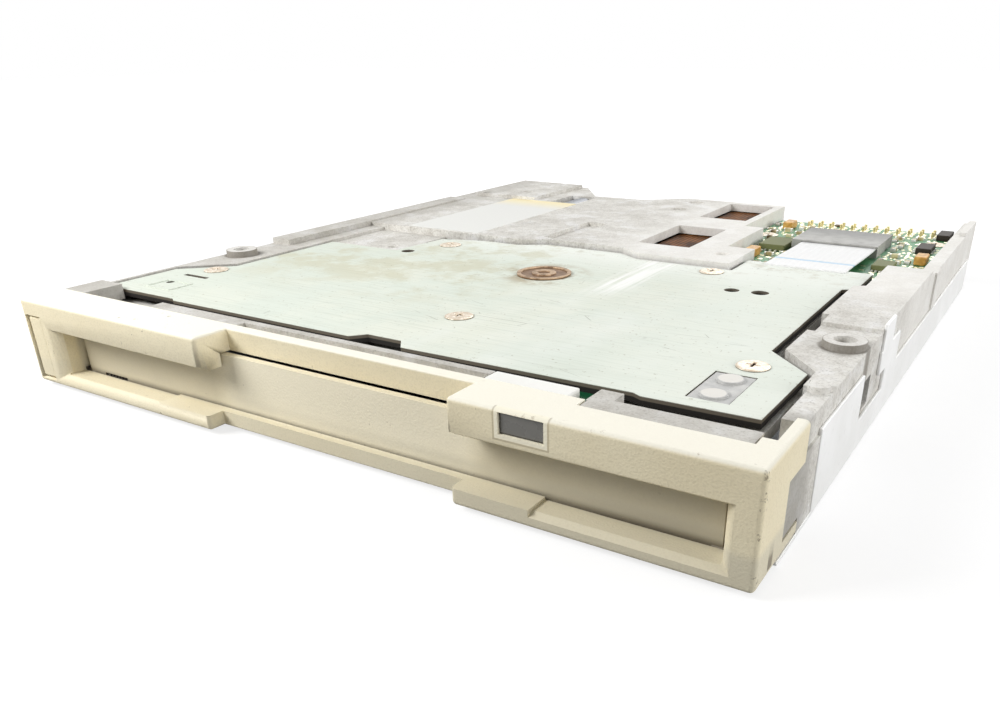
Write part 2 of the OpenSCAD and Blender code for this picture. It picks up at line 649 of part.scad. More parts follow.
// Front
module bezel() color(cream) place() difference() {
    union() {
        block([-bezel_w / 2, bezel_w / 2], [0, bezel_d], [bezel_lift, bezel_top]);
        for (s = [-1, 1])
            mirror([s < 0 ? 1 : 0, 0, 0])
                block([bezel_w / 2 - ear_t, bezel_w / 2], [bezel_d - 0.1, bezel_d + ear_len],
                    [bezel_lift, s < 0 ? left_ear_top : bezel_top]);
    }
    throat = [disk_x - throat_half, disk_x + throat_half];
    block(throat, [-1, bezel_d + 1], throat_z);
    block(throat, [lip_d, bezel_d + 1], [bezel_lift + bezel_floor, flap_top + 0.15]);
    notch = [notch_x - notch_w / 2, notch_x + notch_w / 2];
    pads = [notch[0] - lip_pad, notch[1] + lip_pad];
    difference() {
        hull() {
            block([throat[0] - mouth_bevel, throat[1] + mouth_bevel], [-0.02, 0],
                [throat_z[0] - 0.75, throat_z[1] + 0.8]);
            block(throat, [mouth_bevel_d, mouth_bevel_d + 0.01], throat_z);
        }
        block(pads, [-1, lip_d], [bezel_lift, throat_z[0]]);
    }
    for (x = [[throat[0], pads[0]], [pads[1], throat[1]]])
        block(x, [-1, lip_d + 1], [throat_z[0] - lip_step, throat_z[0] + 1]);
    block(notch, [-1, notch_d], [throat_z[1] - 1, bezel_top + 1]);
    block(notch, [-1, lower_notch_d], [bezel_lift - 1, throat_z[0] + 1]);
    block([button_x - button_w / 2 - button_gap, button_x + button_w / 2 + button_gap], [-1, bezel_d + 1],
        [button_z[0] - button_gap, button_z[1] + button_gap]);
    rod_along_x([throat[0] - 1.5, throat[1] + 1.5], flap_y, flap_z, flap_pin_r + run_fit);
    block([lens_x - lens_w / 2, lens_x + lens_w / 2], [-1, bezel_d + 1],
        [bezel_top - lens_top - lens_h, bezel_top - lens_top]);
    block(rebate_x, [rebate_y, bezel_d + 1], [rebate_z, bezel_top + 1]);
    for (s = [-1, 1])
        mirror([s < 0 ? 1 : 0, 0, 0])
            block([bezel_w / 2 - ear_t - 1, bezel_w / 2 + 1], [bezel_d + 1, bezel_d + ear_len + 1],
                [web_z - hook_h - 0.4, web_z]);
}
module flap() color(cream) place() difference() {
    union() {
        block([disk_x - flap_half, disk_x + flap_half], [flap_y - flap_t / 2, flap_y + flap_t / 2],
            [flap_z, flap_top]);
        rod_along_x([disk_x - flap_half, disk_x + flap_half], flap_y, flap_z, flap_t / 2);
        rod_along_x([disk_x - throat_half - 1.3, disk_x - flap_half + 1], flap_y, flap_z, flap_pin_r);
        rod_along_x([disk_x + flap_half - 1, disk_x + throat_half + 1.3], flap_y, flap_z, flap_pin_r);
    }
    // Room for the spring round the hinge axis
    difference() {
        block([flap_spring_x - 0.4, flap_spring_x + 4.4], [flap_y - 2, flap_y + 2],
            [flap_z - 2, flap_z + 0.6]);
        rod_along_x([flap_spring_x - 1, flap_spring_x + 5], flap_y, flap_z, flap_wire_pin);
    }
}
module flap_spring() color(steel) place()
    translate([flap_spring_x, flap_y, flap_z]) rotate([0, 90, 0]) coil(flap_wire_pin + 0.13, 0.09, 6, 4);
module eject_button() color(cream) place() difference() {
    block([button_x - button_w / 2, button_x + button_w / 2], [button_back, button_end], button_z);
    block([strip_x[0] - run_fit, strip_x[1] + run_fit], [strip_front - run_fit, button_end + 1],
        [strip_z[0] - run_fit, strip_z[1] + run_fit]);
}
module indicator_lens() color(mid_grey) place()
    block([lens_x - lens_w / 2, lens_x + lens_w / 2], [0.3, bezel_d],
        [bezel_top - lens_top - lens_h, bezel_top - lens_top]);
module lamp_holder() color(white) place()
    block([lens_x + 1.5 - lamp_w, lens_x + 1.5], [bezel_d, bezel_d + lamp_d],
        [web_top + lamp_board_t, bezel_top]);
module lamp_board() color(green) place()
    block([lens_x + 1.5 - lamp_w, lens_x + 3.1], [chassis_front, plate_front + 2.6],
        [web_top, web_top + lamp_board_t]);

// Cover with its side flanges
module cover() color(white) place() {
    block([-bezel_w / 2, bezel_w / 2], [chassis_front, rear_y - 1], [0, lid_t]);
    hook_end = wall_front + 4.9;
    block([-bezel_w / 2, -chassis_half], [hook_end, rear_y - 1], [lid_t, flange_top]);
    difference() {
        union() {
            block([chassis_half, bezel_w / 2], [hook_end, rear_y - 1], [lid_t, flange_top]);
            block([chassis_half, bezel_w / 2], [hook_end, spindle_y + 4], [flange_top, web_top - 0.2]);
            block([chassis_half, bezel_w / 2], [spindle_y - 5.8, spindle_y - 1],
                [web_top - 0.2, rail_top + 0.5]);
        }
        block([chassis_half - 1, bezel_w / 2 + 1], [spindle_y - 14.8, spindle_y - 6.3], [3.7, web_top + 1]);
        block([chassis_half - 1, bezel_w / 2 + 1], [spindle_y - 6.4, spindle_y - 3], [3.7, 6.4]);
    }
}

// Loading mechanism
module eject_slide() color(steel) place() {
    side_in = flange_in - 9;
    block([disk_x - flange_out, disk_x + flange_out], [slide_front, slide_front + 10], [slide_z, slide_top]);
    both_sides(side_in, flange_out, [slide_front, slide_end], [slide_z, slide_top]);
    difference() {
        both_sides(flange_in, flange_out, [slide_front, slide_end], [slide_z, holder_height]);
        for (y = pin_rows)
            for (s = [-1, 1])
                translate([disk_x + s * (flange_in + flange_out) / 2, y, pin_z]) cam_slot();
    }
    lug = [strip_x[0], disk_x - flange_out];
    block(lug, [slide_front, slide_front + 2.3], [slide_z, slide_top]);
    side_profile([[slide_front + 2.3, slide_z], [slide_front + 2.3, strip_z[1]], [strip_front, strip_z[1]],
        [strip_front, strip_z[0]], [slide_front - 5, strip_z[0]], [slide_front - 4, slide_z]], strip_x);
    block([disk_x - flange_out - 3.2, disk_x - flange_out], [spring_end, spring_end + 0.6],
        [spring_z - 1.2, spring_z + 1.2]);
}
// Slanted slot in a slide flange, from the pin's lower place to its upper one
module cam_slot() {
    angle = atan2(lift, slide_travel);
    rotate([angle, 0, 0]) {
        run = sqrt(lift * lift + slide_travel * slide_travel);
        block([-1, 1], [0, run], [-cam_r, cam_r]);
        rod_along_x([-1, 1], 0, 0, cam_r);
        rod_along_x([-1, 1], run, 0, cam_r);
    }
}
spring_x = disk_x - flange_out - 2;
spring_z = slide_top + 2.2;
spring_start = pin_front + pad_half;
spring_end = spring_start + 20.2;
module eject_spring() color(steel) place()
    translate([spring_x, spring_start, spring_z]) rotate([-90, 0, 0])
        coil(1.1, 0.2, 14, spring_end - spring_start);
module disk_holder() color(steel) place() {
    difference() {
        union() {
            block([disk_x - holder_half, disk_x + holder_half], [holder_front, holder_end],
                [holder_z, holder_top]);
            block([lever_x - lever_r - 4, lever_x + 4.5], [holder_end - 1, lever_y + 5],
                [holder_z, holder_top]);
        }
        block([disk_x - arm_w / 2 - 4.9, disk_x + arm_w / 2 + 5.1], [head_y - head_travel - 4.5, lever_y + 6],
            [holder_z - 1, holder_top + 1]);
        lever_slot();
        post(lever_x, lever_y, [holder_z - 1, holder_top + 1], rivet_r);
    }
    both_sides(bay_half, holder_half, [holder_front, holder_end], [holder_top, holder_height]);
    for (y = [pin_front + 2, pin_rear - 14])
        both_sides(bay_half - 2, bay_half, [y, y + 15], [lip_z, holder_height]);
}
// Curved slot that the shutter pin sweeps
module lever_slot() {
    slot_r = lever_pin_r + 0.25;
    translate([lever_x, lever_y, holder_z - 1])
        rotate([0, 0, lever_start - lever_swing])
            rotate_extrude(angle = lever_swing) translate([lever_r - slot_r, 0]) square([2 * slot_r, 3]);
    for (a = [lever_start - lever_swing, lever_start])
        post(lever_x + lever_r * cos(a), lever_y + lever_r * sin(a), [holder_z - 1, holder_top + 1], slot_r + 0.05);
}
module holder_pins() color(steel) place()
    for (y = pin_rows) {
        rod_along_x([disk_x - guide_half - 0.9, disk_x - holder_half], y, pin_z, pin_r);
        rod_along_x([disk_x + holder_half, disk_x + guide_half + 0.9], y, pin_z, pin_r);
    }
module shutter_lever() color(dark) place() {
    tip = [lever_x + lever_r * cos(lever_start), lever_y + lever_r * sin(lever_start)];
    difference() {
        union() {
            post(lever_x, lever_y, lever_z, lever_hub_r);
            translate([lever_x, lever_y, lever_z[0]]) rotate([0, 0, lever_start])
                translate([0, -1.6, 0]) cube([lever_r, 3.2, lever_z[1] - lever_z[0]]);
            post(tip[0], tip[1], lever_z, 1.6);
        }
        post(lever_x, lever_y, [0, holder_top], rivet_r + run_fit);
    }
    post(tip[0], tip[1], [lever_z[1], lip_z - 0.6], lever_pin_r);
}
module lever_rivet() color(steel) place() {
    post(lever_x, lever_y, [lever_z[0], holder_top + 2.2], rivet_r);
    post(lever_x, lever_y, [lever_z[0] - 0.4, lever_z[0] - 0.05], 2);
    post(lever_x, lever_y, [lever_z[0] - 0.05, lever_z[0]], rivet_r);
}
module lever_spring() color(steel) place()
    translate([lever_x, lever_y, holder_top]) coil(rivet_r + 0.4, 0.15, 2, 2.2);

// Spindle motor
module motor_plate() color(mint) place() difference() {
    slab(plate_outline, [plate_z, plate_top]);
    for (s = screw_spots) post(s[0], s[1], [plate_z - 1, plate_top + 1], plate_screw_r + 0.2);
    post(disk_x, spindle_y, [plate_z - 1, plate_top + 1], bush_r - 1);
    block([switch_x - switch_w / 2 - 0.1, switch_x + switch_w / 2 + 0.1],
        [switch_y - switch_l / 2 - 0.1, switch_y + switch_l / 2 + 0.1], [plate_z - 1, plate_top + 1]);
    for (p = plate_holes) post(p[0], p[1], [plate_z - 1, plate_top + 1], p[2]);
    block([lx + 5.1, lx + 10.1], [disk_switch_y + 3.7, disk_switch_y + 4.6], [plate_z - 1, plate_top + 1]);
    post(lx + 7.1, disk_switch_y, [plate_z - 1, plate_top + 1], 0.6);
}
// Low pan head screw standing on a face at height z
module pan_screw(x, y, z, length) {
    translate([x, y, z]) difference() {
        union() {
            cylinder(r = plate_screw_r + 1, h = head_h);
            translate([0, 0, head_h]) cylinder(r1 = plate_screw_r + 1, r2 = plate_screw_r + 0.6, h = dome_h);
            translate([0, 0, -length]) cylinder(r = plate_screw_r, h = length);
        }
        for (a = [0, 90])
            rotate([0, 0, a]) translate([0.05 - plate_screw_r, -0.18, -cross_d])
                cube([2 * plate_screw_r - 0.1, 0.36, cross_d + 1]);
    }
}
module plate_screws() color(gold) place()
    for (s = screw_spots) pan_screw(s[0], s[1], plate_top, plate_t + plate_gap + 0.9);
module spindle_bush() color(copper) place() {
    ring(disk_x, spindle_y, [rotor_z + rotor_t + 0.3, plate_top], bush_r - 1, shaft_r + run_fit);
    difference() {
        post(disk_x, spindle_y, [plate_top, plate_top + 0.3], bush_r);
        ring(disk_x, spindle_y, [plate_top + 0.08, plate_top + 1], bush_r - 0.6, shaft_r + 0.3);
        post(disk_x, spindle_y, [plate_top + 0.1, plate_top + 1], shaft_r - 0.6);
    }
}
module tooth(length, width, z) {
    translate([0, -width / 2, z[0]]) cube([length, width, z[1] - z[0]]);
}
tooth_z = [rotor_z + rotor_t + 0.7, plate_z - 0.4];
module stator_core() color(steel) place() translate([disk_x, spindle_y, 0]) {
    difference() {
        union() {
            post(0, 0, [tooth_z[0], plate_z], 6.8);
            for (i = [0:coil_count - 1]) rotate([0, 0, 360 / coil_count * i]) {
                tooth(core_r - 0.8, 1.6, tooth_z);
                translate([core_r - 1.4, 0, 0]) tooth(1.2, 5, tooth_z);
            }
        }
        post(0, 0, [0, plate_z + 1], bush_r + 0.4);
    }
}
module stator_coils() color(copper) place() translate([disk_x, spindle_y, 0])
    for (i = [0:coil_count - 1]) rotate([0, 0, 360 / coil_count * i])
        difference() {
            translate([8.6, 0, 0]) tooth(core_r - 10.4, 3.2, [tooth_z[0] - 0.35, plate_z - 0.1]);
            translate([8, 0, 0]) tooth(core_r, 1.7, [tooth_z[0] - 0.05, tooth_z[1] + 0.05]);
        }
module index_sensor() color(dark) place()
    block([disk_x - rotor_r - 3.1, disk_x - rotor_r - 0.9], [spindle_y - 1.2, spindle_y + 1.2],
        [web_top + 0.1, plate_z]);
module spindle_shaft() color(steel) place() {
    post(disk_x, spindle_y, [chuck_z - 0.7, plate_top - 0.1], shaft_r);
    translate([disk_x, spindle_y, chuck_z - 1]) cylinder(r1 = shaft_r - 0.3, r2 = shaft_r, h = 0.3);
}
module rotor_yoke() color(steel) place() difference() {
    post(disk_x, spindle_y, [rotor_z, plate_z - 0.4], rotor_r);
    post(disk_x, spindle_y, [rotor_z + rotor_t, plate_z], rotor_r - rotor_rim);
    post(disk_x, spindle_y, [rotor_z - 1, plate_z], shaft_r);
    post(disk_x + drive_r, spindle_y, [rotor_z - 1, plate_z], 2.1);
}
module rotor_magnet() color(dark) place()
    ring(disk_x, spindle_y, [rotor_z + rotor_t, plate_z - 0.4], rotor_r - rotor_rim,
        rotor_r - rotor_rim - magnet_t);
module disk_chuck() color(mid_grey) place() difference() {
    post(disk_x, spindle_y, [chuck_z, rotor_z], chuck_r);
    post(disk_x, spindle_y, [chuck_z - 1, rotor_z + 1], shaft_r);
    post(disk_x + drive_r, spindle_y, [chuck_z - 1, rotor_z + 1], 1.1);
    post(disk_x + drive_r, spindle_y, [chuck_z + 0.35, rotor_z + 1], 2.1);
}
module drive_pin() color(steel) place() {
    post(disk_x + drive_r, spindle_y, [chuck_z - 0.5, rotor_z - 0.05], 1);
    post(disk_x + drive_r, spindle_y, [chuck_z + 0.4, rotor_z - 0.05], 1.8);
}

// Switches
module switch_unit() color(mid_grey) place() difference() {
    union() {
        block([switch_x - switch_w / 2, switch_x + switch_w / 2],
            [switch_y - switch_l / 2, switch_y + switch_l / 2], [web_z + 1, plate_top - 0.1]);
        for (y = detect_ys) post(switch_x, y, [plate_top - 0.1, plate_top + 0.15], 1.4);
    }
    for (y = detect_ys) post(switch_x, y, [0, plunger_top + plunger_stroke + 0.1], plunger_r + run_fit);
}
module disk_switch() color(dark) place() difference() {
    block([disk_switch_x - 2, disk_switch_x + 2], [disk_switch_y - 2.3, disk_switch_y + 2.3],
        [web_z + 0.8, plate_z]);
    post(disk_switch_x, disk_switch_y, [0, plate_z - 0.1], plunger_r + run_fit);
}
module write_protect_plunger() color(white) place()
    post(switch_x, detect_ys[0], [plunger_tip, plunger_top], plunger_r);
module density_plunger() color(white) place()
    post(switch_x, detect_ys[1], [plunger_tip, plunger_top], plunger_r);
module disk_in_plunger() color(white) place()
    post(disk_switch_x, disk_switch_y, [plunger_tip, plate_z - 0.2 - plunger_stroke], plunger_r);

// Heads and their drive
module head_carriage() color(dark) place() difference() {
    union() {
        block(carriage_x, [carriage_front, carriage_end], carriage_z);
        block([disk_x - 3.2, disk_x + 3.2], [head_y - 3.3, head_y + 3.3], [web_z - 1.8, carriage_z[0]]);
        block([left_rod_x - 2.8, carriage_x[0]], [bearing_y, bearing_y + bearing_l], bearing_z);
        block([carriage_x[1], right_rod_x + 1.7], [bearing_y + 3, bearing_y + 7],
            [rod_z - rod_r - 0.4, rod_z + rod_r + 0.4]);
        block([lead_x + 2, left_rod_x - 2.8], [nut_y - 1.2, nut_y + 1.2], [rod_z - 0.6, rod_z + 0.8]);
        for (x = [[carriage_x[0], carriage_x[0] + ear_w], [carriage_x[1] - ear_w, carriage_x[1]]])
            block(x, [pivot_y - 2, carriage_end], [arm_z - 0.2, carriage_z[0]]);
    }
    rod_along_y(left_rod_x, [0, drive_depth], rod_z, rod_r + run_fit);
    block([right_rod_x - rod_r - run_fit, right_rod_x + 3], [0, drive_depth],
        [rod_z - rod_r - run_fit, rod_z + rod_r + run_fit]);
    rod_along_x([carriage_x[0] - 1, carriage_x[1] + 1], pivot_y, pivot_z, pivot_r);
}
module side_zero_head() color(mid_grey) place()
    block([disk_x - 2.6, disk_x + 2.6], [head_y - 3, head_y + 3], [web_z - 2.3, web_z - 1.8]);
module lead_nut() color(white) place() difference() {
    block([lead_x - 1.8, lead_x + 2], [nut_y - nut_half, nut_y + nut_half], nut_z);
    rod_along_y(lead_x, [0, drive_depth], rod_z, screw_r + run_fit);
}
module head_arm() color(dark) place() {
    knuckle = [carriage_x[0] + ear_w + 0.2, carriage_x[1] - ear_w - 0.2];
    difference() {
        union() {
            block([disk_x - arm_w / 2, disk_x + arm_w / 2], [head_y - 3.4, pivot_y], [arm_z, arm_z + arm_t]);
            rod_along_x(knuckle, pivot_y, pivot_z, pivot_hub_r);
        }
        rod_along_x([knuckle[0] - 1, knuckle[1] + 1], pivot_y, pivot_z, pivot_r + run_fit);
        block([disk_x - 1.9, disk_x + 1.9], [pivot_y - 2.2, pivot_y + 3], [0, pivot_z + 3]);
    }
}
// Its face slopes, so that it lies level when the arm is raised
module side_one_head() color(mid_grey) place()
    side_profile([[head_y - 2.4, arm_z + arm_t], [head_y + 2.4, arm_z + arm_t],
        [head_y + 2.4, holder_top - 0.07],
        [head_y - 2.4, arm_z + arm_t + 0.01]], [disk_x - 2.6, disk_x + 2.6]);
module arm_pivot_pin() color(steel) place()
    rod_along_x([carriage_x[0], carriage_x[1]], pivot_y, pivot_z, pivot_r);
module arm_spring() color(steel) place()
    translate([disk_x - 1.7, pivot_y, pivot_z]) rotate([0, 90, 0]) coil(pivot_r + 0.35, 0.15, 4, 3.4);
module guide_rods() color(steel) place() {
    rod_along_y(left_rod_x, [rod_front, left_rod_end], rod_z, rod_r);
    rod_along_y(right_rod_x, [rod_front, rod_end], rod_z, rod_r);
}
clamp_screw_spots = [[left_rod_x - 3.6, web_end - 2], [right_rod_x + 3.6, web_end - 2]];
clamp_t = 0.3;
module rod_clamps() color(steel) place()
    for (s = [-1, 1]) {
        x = s < 0 ? left_rod_x : right_rod_x;
        spot = s < 0 ? clamp_screw_spots[0] : clamp_screw_spots[1];
        span = [min(x, spot[0]) - 1.8, max(x, spot[0]) + 1.8];
        difference() {
            union() {
                block(span, [web_end - 3.8, web_end - 0.2], [rod_z + rod_r, rod_z + rod_r + clamp_t]);
                block([spot[0] - 1.8, spot[0] + 1.8], [web_end - 3.8, web_end - 0.2],
                    [web_top, rod_z + rod_r]);
            }
            post(spot[0], spot[1], [0, deck_top], plate_screw_r + 0.1);
        }
    }
module clamp_screws() color(gold) place()
    for (s = clamp_screw_spots) pan_screw(s[0], s[1], rod_z + rod_r + clamp_t, 1.7);
module stepper_motor() color(steel) place() difference() {
    rod_along_y(lead_x, [stepper_front, stepper_end], rod_z, stepper_r);
    rod_along_y(lead_x, [stepper_front - 1, stepper_front + 4.5], rod_z, screw_r + run_fit);
}
bracket_screw_spots = [[lead_x - 4.6, bracket_front + 2], [lead_x + 4.6, bracket_front + 2]];
module stepper_bracket() color(steel) place() difference() {
    union() {
        block([lead_x - 3.2, lead_x + 3.2], [bracket_front - bracket_t, stepper_front],
            [deck_z - 0.4, deck_z]);
        block([lead_x - 6.4, lead_x + 6.4], [bracket_front - bracket_t, bracket_front + 4],
            [deck_z - 0.4, deck_z]);
        block([lead_x - 3.2, lead_x + 3.2], [bracket_back, stepper_front], [rod_z - stepper_r, deck_z]);
        block([lead_x - 2, lead_x + 2], [bracket_front - bracket_t, bracket_front],
            [rod_z - screw_r - 0.15, deck_z]);
    }
    rod_along_y(lead_x, [0, drive_depth], rod_z, screw_r + run_fit);
    for (s = bracket_screw_spots) post(s[0], s[1], [0, deck_top], plate_screw_r + 0.1);
}
module bracket_screws() color(gold) place()
    for (s = bracket_screw_spots)
        translate([0, 0, 2 * (deck_z - 0.4)]) mirror([0, 0, 1]) pan_screw(s[0], s[1], deck_z - 0.4, 1.4);
module lead_screw() color(steel) place()
    rod_along_y(lead_x, [bracket_front - bracket_t - 0.6, stepper_front + 4.3], rod_z, screw_r);
module track_zero_sensor() color(dark) place() difference() {
    block([carriage_x[1] + 0.9, carriage_x[1] + 4], [rod_end - 5, rod_end], [rod_z - 5, rod_z - 1.6]);
    block([carriage_x[1] + 2, carriage_x[1] + 3], [rod_end - 6, rod_end - 2], [rod_z - 4, rod_z]);
}

// Electronics
module main_board() color(green) place() difference() {
    board_left = [divider_x + wall_t + 0.3, step_x + 0.3, corner_x + 0.3];
    slab([[board_left[2], board_front], [rail_in - 0.4, board_front], [rail_in - 0.4, deck_front + 11],
        [board_right, deck_front + 11], [board_right, board_end],
        [board_left[0], board_end], [board_left[0], disk_end + 0.8], [board_left[1], disk_end + 0.8],
        [board_left[1], deck_front + 11.8], [board_left[2], deck_front + 11.8]],
        [board_z, board_top]);
    for (s = board_screw_spots) post(s[0], s[1], [0, tab_top], plate_screw_r + 0.1);
    for (i = [0:header_pins - 1]) for (y = header_rows)
        post(header_x + i * header_pitch, y, [0, tab_top], 0.45);
}
module board_screws() color(gold) place()
    for (s = board_screw_spots) pan_screw(s[0], s[1], board_top, board_t + 0.6);
module board_chips() color(dark) place() {
    block([header_last + 0.8, header_last + 3], [board_end - 6.5, board_end - 1.5], [board_top, board_top + 1]);
    block([board_right - 3.8, board_right - 1.4], [board_end - 19.5, board_end - 14.5], [board_top, board_top + 1]);
    block([step_x + 1.5, connector_x[0] - 0.5], [board_front + 19, board_front + 26], [board_top, board_top + 1.1]);
    block([board_right - 7.4, board_right - 4.4], [board_front + 12, board_front + 16.5], [board_top, board_top + 1]);
}
module board_capacitors() color(gold) place()
    for (s = amber_spots)
        block([s[0] - 0.9, s[0] + 0.9], [s[1] - 1.7, s[1] + 1.7], [board_top, board_top + 1.4]);
module cable_connector() color(mid_grey) place() difference() {
    block(connector_x, connector_y, [board_top, connector_top]);
    block([cable_x[0] - 0.15, cable_x[1] + 0.15], [connector_y[0] - 1, connector_y[0] + 3], cable_slot);
}
cable_slot = [connector_top - 0.6, connector_top - 0.6 + cable_t + 0.1];
module motor_cable() color(white) place()
    side_profile([[plate_back - 1.6, plate_top], [plate_back + 0.4, plate_top],
        [connector_y[0] - 3, cable_slot[0] + 0.05],
        [connector_y[0] + 2.8, cable_slot[0] + 0.05], [connector_y[0] + 2.8, cable_slot[0] + 0.05 + cable_t],
        [connector_y[0] - 3, cable_slot[0] + 0.05 + cable_t], [plate_back + 0.4, plate_top + cable_t],
        [plate_back - 1.6, plate_top + cable_t]], cable_x);
flex_z = [carriage_z[1] + 0.05, deck_z - 0.15];
flex_w = 8.2;
module head_flex() color(copper) place()
    side_profile([[pivot_y - 6, flex_z[0]], [rod_end - 1, flex_z[0]],
        [rod_end - 0.4, (flex_z[0] + flex_z[1]) / 2],
        [rod_end - 1, flex_z[1]], [deck_front + 8, flex_z[1]], [deck_front + 8, flex_z[1] - 0.15],
        [rod_end - 1.1, flex_z[1] - 0.15], [rod_end - 0.6, (flex_z[0] + flex_z[1]) / 2],
        [rod_end - 1.1, flex_z[0] + 0.15], [pivot_y - 6, flex_z[0] + 0.15]],
        [divider_x - 0.7 - flex_w, divider_x - 0.7]);
// One row of bent header pins: upright tails through the board, blades to the rear
module header_row(y, z) {
    for (i = [0:header_pins - 1]) {
        x = header_x + i * header_pitch;
        block([x - 0.25, x + 0.25], [y - 0.25, y + 0.25], [z - 0.25, board_top + 1.2]);
        block([x - 0.25, x + 0.25], [y - 0.25, header_y[1] + 5.5], [z - 0.25, z + 0.25]);
    }
}
module header_pins_group() color(gold) place() {
    header_row(header_rows[0], board_z - 2.3);
    header_row(header_rows[1], board_z - 0.8);
}
module interface_header() color(dark) place() difference() {
    block([header_x - 1.2, header_x + header_pitch * (header_pins - 1) + 1.2], header_y,
        [board_z - 3, board_z]);
    for (i = [0:header_pins - 1]) {
        x = [header_x + i * header_pitch - 0.3, header_x + i * header_pitch + 0.3];
        block(x, [header_rows[0] - 0.3, header_y[1] + 1], [board_z - 2.6, board_z + 1]);
    }
}
module blank_label() color(white) place()
    block([lead_x - 12, lead_x + 3.4], [deck_front + 0.6, stepper_front - 0.7], [deck_top, deck_top + 0.08]);

chassis();
bezel();
flap();
flap_spring();
eject_button();
indicator_lens();
lamp_holder();
lamp_board();
cover();
eject_slide();
eject_spring();
disk_holder();
holder_pins();
shutter_lever();
lever_rivet();
lever_spring();
motor_plate();
plate_screws();
spindle_bush();
stator_core();
stator_coils();
index_sensor();
spindle_shaft();
rotor_yoke();
rotor_magnet();
disk_chuck();
drive_pin();
switch_unit();
disk_switch();
write_protect_plunger();
density_plunger();
disk_in_plunger();
head_carriage();
side_zero_head();
lead_nut();
head_arm();
side_one_head();
arm_pivot_pin();
arm_spring();
guide_rods();
rod_clamps();
clamp_screws();
stepper_motor();
stepper_bracket();
bracket_screws();
lead_screw();
track_zero_sensor();
main_board();
board_screws();
board_chips();
board_capacitors();
cable_connector();
motor_cable();
head_flex();
interface_header();
header_pins_group();
blank_label();
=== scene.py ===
# Slim floppy disk drive lying on its cover, dressed around its solids.
import json
import math
import random
import bpy
from mathutils import Matrix, Vector


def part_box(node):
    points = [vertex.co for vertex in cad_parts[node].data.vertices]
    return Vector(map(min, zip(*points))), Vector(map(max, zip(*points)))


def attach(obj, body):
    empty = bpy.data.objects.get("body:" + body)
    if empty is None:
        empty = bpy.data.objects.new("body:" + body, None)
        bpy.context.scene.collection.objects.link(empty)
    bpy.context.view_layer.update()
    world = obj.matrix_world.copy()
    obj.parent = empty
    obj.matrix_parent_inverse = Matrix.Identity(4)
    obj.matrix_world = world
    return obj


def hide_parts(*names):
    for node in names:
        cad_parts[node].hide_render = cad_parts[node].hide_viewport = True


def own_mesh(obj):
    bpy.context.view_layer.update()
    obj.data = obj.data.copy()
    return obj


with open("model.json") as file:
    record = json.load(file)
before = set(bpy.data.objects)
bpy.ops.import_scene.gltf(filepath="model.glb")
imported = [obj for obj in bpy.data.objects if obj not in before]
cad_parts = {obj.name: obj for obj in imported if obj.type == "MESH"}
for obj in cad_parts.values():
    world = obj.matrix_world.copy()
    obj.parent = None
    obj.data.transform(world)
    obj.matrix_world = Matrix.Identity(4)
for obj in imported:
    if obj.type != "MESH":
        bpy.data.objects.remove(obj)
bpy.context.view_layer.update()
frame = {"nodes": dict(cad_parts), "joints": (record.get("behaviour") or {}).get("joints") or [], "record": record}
scene = bpy.context.scene
scene.view_settings.view_transform = "Standard"

# Camera
# A phone camera held over the right front corner, looking down at the bezel and along the drive.
# Its place and lens were worked out from the bezel's corners, for a picture of 1000 by 727 pixels.
azimuth = 0.5590629
elevation = 0.4648684
roll = -0.0114834
eye_place = Vector((0.0665451, -0.1188361, 0.0410121))
picture_width = 1000
picture_height = 727
focal_pixels = 851.570
centre_pixel = (537.336, 474.056)
eye_back = Vector((math.sin(azimuth) * math.cos(elevation), -math.cos(azimuth) * math.cos(elevation),
                   math.sin(elevation)))
level = (-eye_back).cross(Vector((0, 0, 1))).normalized()
upward = level.cross(-eye_back)
eye_right = level * math.cos(roll) + upward * math.sin(roll)
eye_up = upward * math.cos(roll) - level * math.sin(roll)
lens = bpy.data.cameras.new("photo_camera")
lens.sensor_width = 36
lens.lens = focal_pixels / picture_width * 36
lens.shift_x = (picture_width / 2 - centre_pixel[0]) / picture_width
lens.shift_y = (centre_pixel[1] - picture_height / 2) / picture_width
lens.clip_start = 0.001
eye = bpy.data.objects.new("photo_camera", lens)
scene.collection.objects.link(eye)
eye.matrix_world = Matrix((
    (eye_right.x, eye_up.x, eye_back.x, eye_place.x),
    (eye_right.y, eye_up.y, eye_back.y, eye_place.y),
    (eye_right.z, eye_up.z, eye_back.z, eye_place.z),
    (0, 0, 0, 1)))
scene.camera = eye


# Table and light
# A white table top and backdrop under soft studio lamps: one over the left front, one high behind
# the drive and one low at its right side.
class Shade:
    """A shader socket that takes part in sums."""

    def __init__(self, tree, socket):
        self.tree = tree
        self.socket = socket

    def node(self, kind, settings, sockets, output=0):
        made = self.tree.nodes.new(kind)
        for name, value in settings.items():
            if name == "stops":
                for index, (spot, colour) in enumerate(value):
                    if index < 2:
                        stop = made.color_ramp.elements[index]
                        stop.position = spot
                    else:
                        stop = made.color_ramp.elements.new(spot)
                    stop.color = colour
            else:
                setattr(made, name, value)
        for name, value in sockets.items():
            if isinstance(value, Shade):
                self.tree.links.new(value.socket, made.inputs[name])
            else:
                made.inputs[name].default_value = value
        return Shade(self.tree, made.outputs[output])

    def sum(self, operation, first, second):
        return self.node("ShaderNodeMath", {"operation": operation}, {0: first, 1: second})

    def __add__(self, other):
        return self.sum("ADD", self, other)

    def __radd__(self, other):
        return self.sum("ADD", other, self)

    def __sub__(self, other):
        return self.sum("SUBTRACT", self, other)

    def __rsub__(self, other):
        return self.sum("SUBTRACT", other, self)

    def __mul__(self, other):
        return self.sum("MULTIPLY", self, other)

    def __rmul__(self, other):
        return self.sum("MULTIPLY", other, self)


